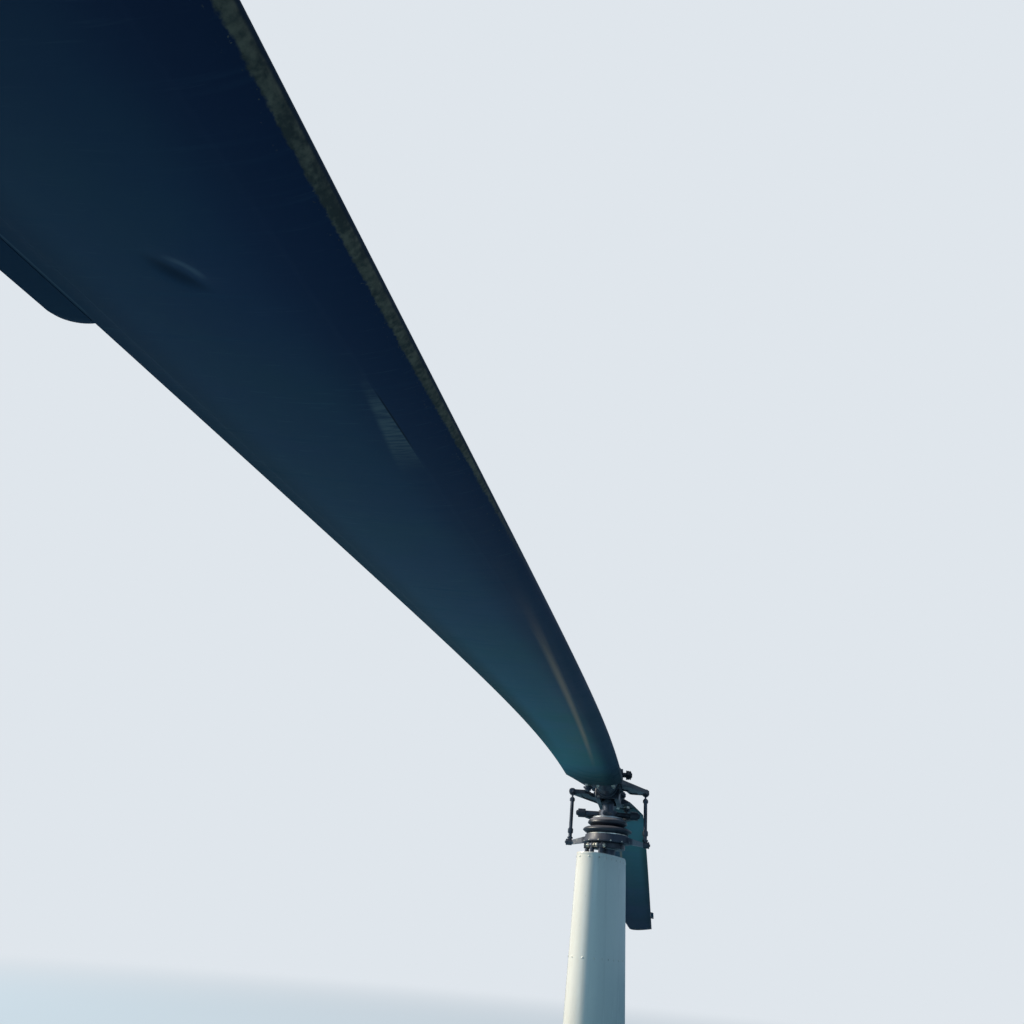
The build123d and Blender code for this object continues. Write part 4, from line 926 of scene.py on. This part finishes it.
# The tip cap is a moulded cover over the blade's open end, painted with the blade. Four small
# screws with domed heads hold it on each face.
CAP_SCREW, CAP_SCREW_STATION, CAP_SCREW_ROWS = 0.0028, 3.776, (0.028, -0.004, -0.044, -0.088)
cap_screws = [lathe(round_screw(CAP_SCREW), *on_skin(CAP_SCREW_STATION, chordwise, side), 12)
              for side in (-1, 1) for chordwise in CAP_SCREW_ROWS]
on_both("tip_cap_screws", cap_screws, bright, "blade")


# The trim tab is a strip of thin sheet bonded into the trailing edge, its corners rounded off. It
# is bent by hand in service to make both blades track alike.
TAB_FROM, TAB_TO, TAB_DEEP, TAB_THICK, TAB_ROUND = 3.140, 3.390, 0.0180, 0.0014, 0.016
TAB_GAP, TAB_BEND = 0.0003, 0.10


def tab_grid():
    """Rows run from the trailing edge back to the tab's rear edge, where quarter ellipses at both
    ends draw it in; columns run along it, above and then below, and its rim is drawn to a line."""
    deep = np.concatenate(((0,), np.sin(np.linspace(0, np.pi / 2, 14)), (1,)))[:, None]
    thick = np.ones_like(deep)
    thick[[0, -1]] = 0
    draw = TAB_ROUND * (1 - np.sqrt(1 - (deep * 0.998) ** 2))
    along = np.linspace(0, 1, 60)
    along = np.concatenate((along, along[::-1]))[None, :]
    side = np.where(np.arange(along.size) < along.size // 2, 1.0, -1.0)[None, :]
    rim = (along > 0) * (along < 1)
    station = TAB_FROM + draw + (TAB_TO - TAB_FROM - 2 * draw) * along
    bend = -TAB_BEND * (deep * TAB_DEEP)
    points = blade_point(station, -TRAILING - TAB_GAP - deep * (TAB_DEEP - TAB_GAP),
                         bend + side * thick * rim * TAB_THICK / 2)
    return points.reshape(-1, 3), sheet_faces(len(deep), along.size)


tabs = on_both("trim_tab_sheet", [tab_grid()], blade_paint, "blade", 50.0,
               "trim_tab")
for end, tab in enumerate(tabs):
    mark_blade(tab, end)


# The rotor stands in a plain pale studio: its coupling's end is 2 mm above the floor, and the
# camera looks up along blade A from under its tip, 0.45 m above the floor. The floor fades into
# the pale background with its distance from the mast.
FLOOR_LEVEL, FLOOR_SIZE, FADE_FROM, FADE_TO = -0.0620, 60.0, 2.5, 9.0
BACKDROP, SKY_COLOUR = rgb(0.74, 0.79, 0.84), rgb(0.26, 0.56, 0.92)
SKY_FILL, GLOSS_SHARE, FLOOR_FADE = 0.14, 0.45, 0.70
world = bpy.data.worlds.new("studio")
bpy.context.scene.world = world
world.use_nodes = True
tree = world.node_tree
sky = tree.nodes["Background"]
rays = tree.nodes.new("ShaderNodeLightPath")
seen = Flow(tree, rays.outputs["Is Camera Ray"])
seen = seen.higher(Flow(tree, rays.outputs["Is Glossy Ray"]) * GLOSS_SHARE)
tree.links.new((SKY_FILL + (1 - SKY_FILL) * seen).socket, sky.inputs["Strength"])
tree.links.new(seen.blend(SKY_COLOUR, BACKDROP).socket, sky.inputs["Color"])


def studio_recipe(point):
    """Pale blue-grey with the faintest mottle."""
    return {"Base Color": point.grain(0.8).blend(rgb(0.20, 0.43, 0.60), rgb(0.23, 0.46, 0.63)),
            "Roughness": 0.8 + 0.1 * point.grain(3.0)}


pale_floor = finish("pale_floor", studio_recipe)
tree = pale_floor.node_tree
point = Flow(tree, tree.nodes["Texture Coordinate"].outputs["Object"])
seen = Flow(tree, tree.nodes.new("ShaderNodeLightPath").outputs["Is Camera Ray"])
far = seen * (FLOOR_FADE + (1 - FLOOR_FADE) * point.length().step(FADE_FROM, FADE_TO))
backdrop = far.make("Emission", {}, {"Color": BACKDROP})
plain = Flow(tree, tree.nodes["Principled BSDF"].outputs[0])
mixed = far.make("MixShader", {}, {0: far, 1: plain, 2: backdrop})
tree.links.new(mixed.socket, tree.nodes["Material Output"].inputs["Surface"])
floor_points = np.array(((-1, -1), (1, -1), (1, 1), (-1, 1))) * FLOOR_SIZE
floor_mesh = bpy.data.meshes.new("studio_floor")
floor_mesh.from_pydata([(x, y, FLOOR_LEVEL) for x, y in floor_points], [], [(0, 1, 2, 3)])
floor_mesh.materials.append(pale_floor)
floor = bpy.data.objects.new("studio_floor", floor_mesh)
bpy.context.scene.collection.objects.link(floor)


def standing(axes, place):
    """The placing whose own x, y and z run along three axes, at a place."""
    return Matrix(np.vstack((np.column_stack((*axes, place)), (0, 0, 0, 1))).tolist())


def soft_lamp(name, place, aim, size, watts, colour):
    """A square lamp of that size and power at a place, facing the aim."""
    light = bpy.data.lights.new(name, "AREA")
    light.size, light.energy, light.color = size, watts, colour
    lamp = bpy.data.objects.new(name, light)
    ahead = np.array(aim, float) - np.array(place, float)
    ahead /= np.linalg.norm(ahead)
    right = np.cross(ahead, (0.0, 0.0, 1.0))
    right /= np.linalg.norm(right)
    up = np.cross(right, ahead)
    lamp.matrix_world = standing((right, up, -ahead), place)
    bpy.context.scene.collection.objects.link(lamp)


soft_lamp("key_lamp", (1.5, -8.9, 5.6), (0.3, 0, 0.6), 1.6, 1420, (1.0, 0.92, 0.79))
soft_lamp("fill_lamp", (4.5, 3.5, 2.6), (1.0, 0, 0.6), 3.0, 22, (0.42, 0.70, 1.0))
soft_lamp("low_lamp", (5.0, -2.5, 0.4), (1.4, 0, 0.8), 2.0, 12, (0.55, 0.80, 1.0))

CAMERA_PLACE = (3.5234, 0.2082, 0.3849)
CAMERA_AXES = ((-0.14766, 0.98554, 0.08308), (0.44135, -0.00951, 0.89728),
               (0.88510, 0.16916, -0.43357))
camera_lens = bpy.data.cameras.new("photo_camera")
camera_lens.sensor_fit = "HORIZONTAL"
camera_lens.sensor_width = 36.0
camera_lens.lens = 31.924
camera_lens.clip_start = 0.02
camera = bpy.data.objects.new("photo_camera", camera_lens)
camera.matrix_world = standing(CAMERA_AXES, CAMERA_PLACE)
bpy.context.scene.collection.objects.link(camera)
bpy.context.scene.camera = camera
bpy.context.scene.view_settings.view_transform = "Standard"
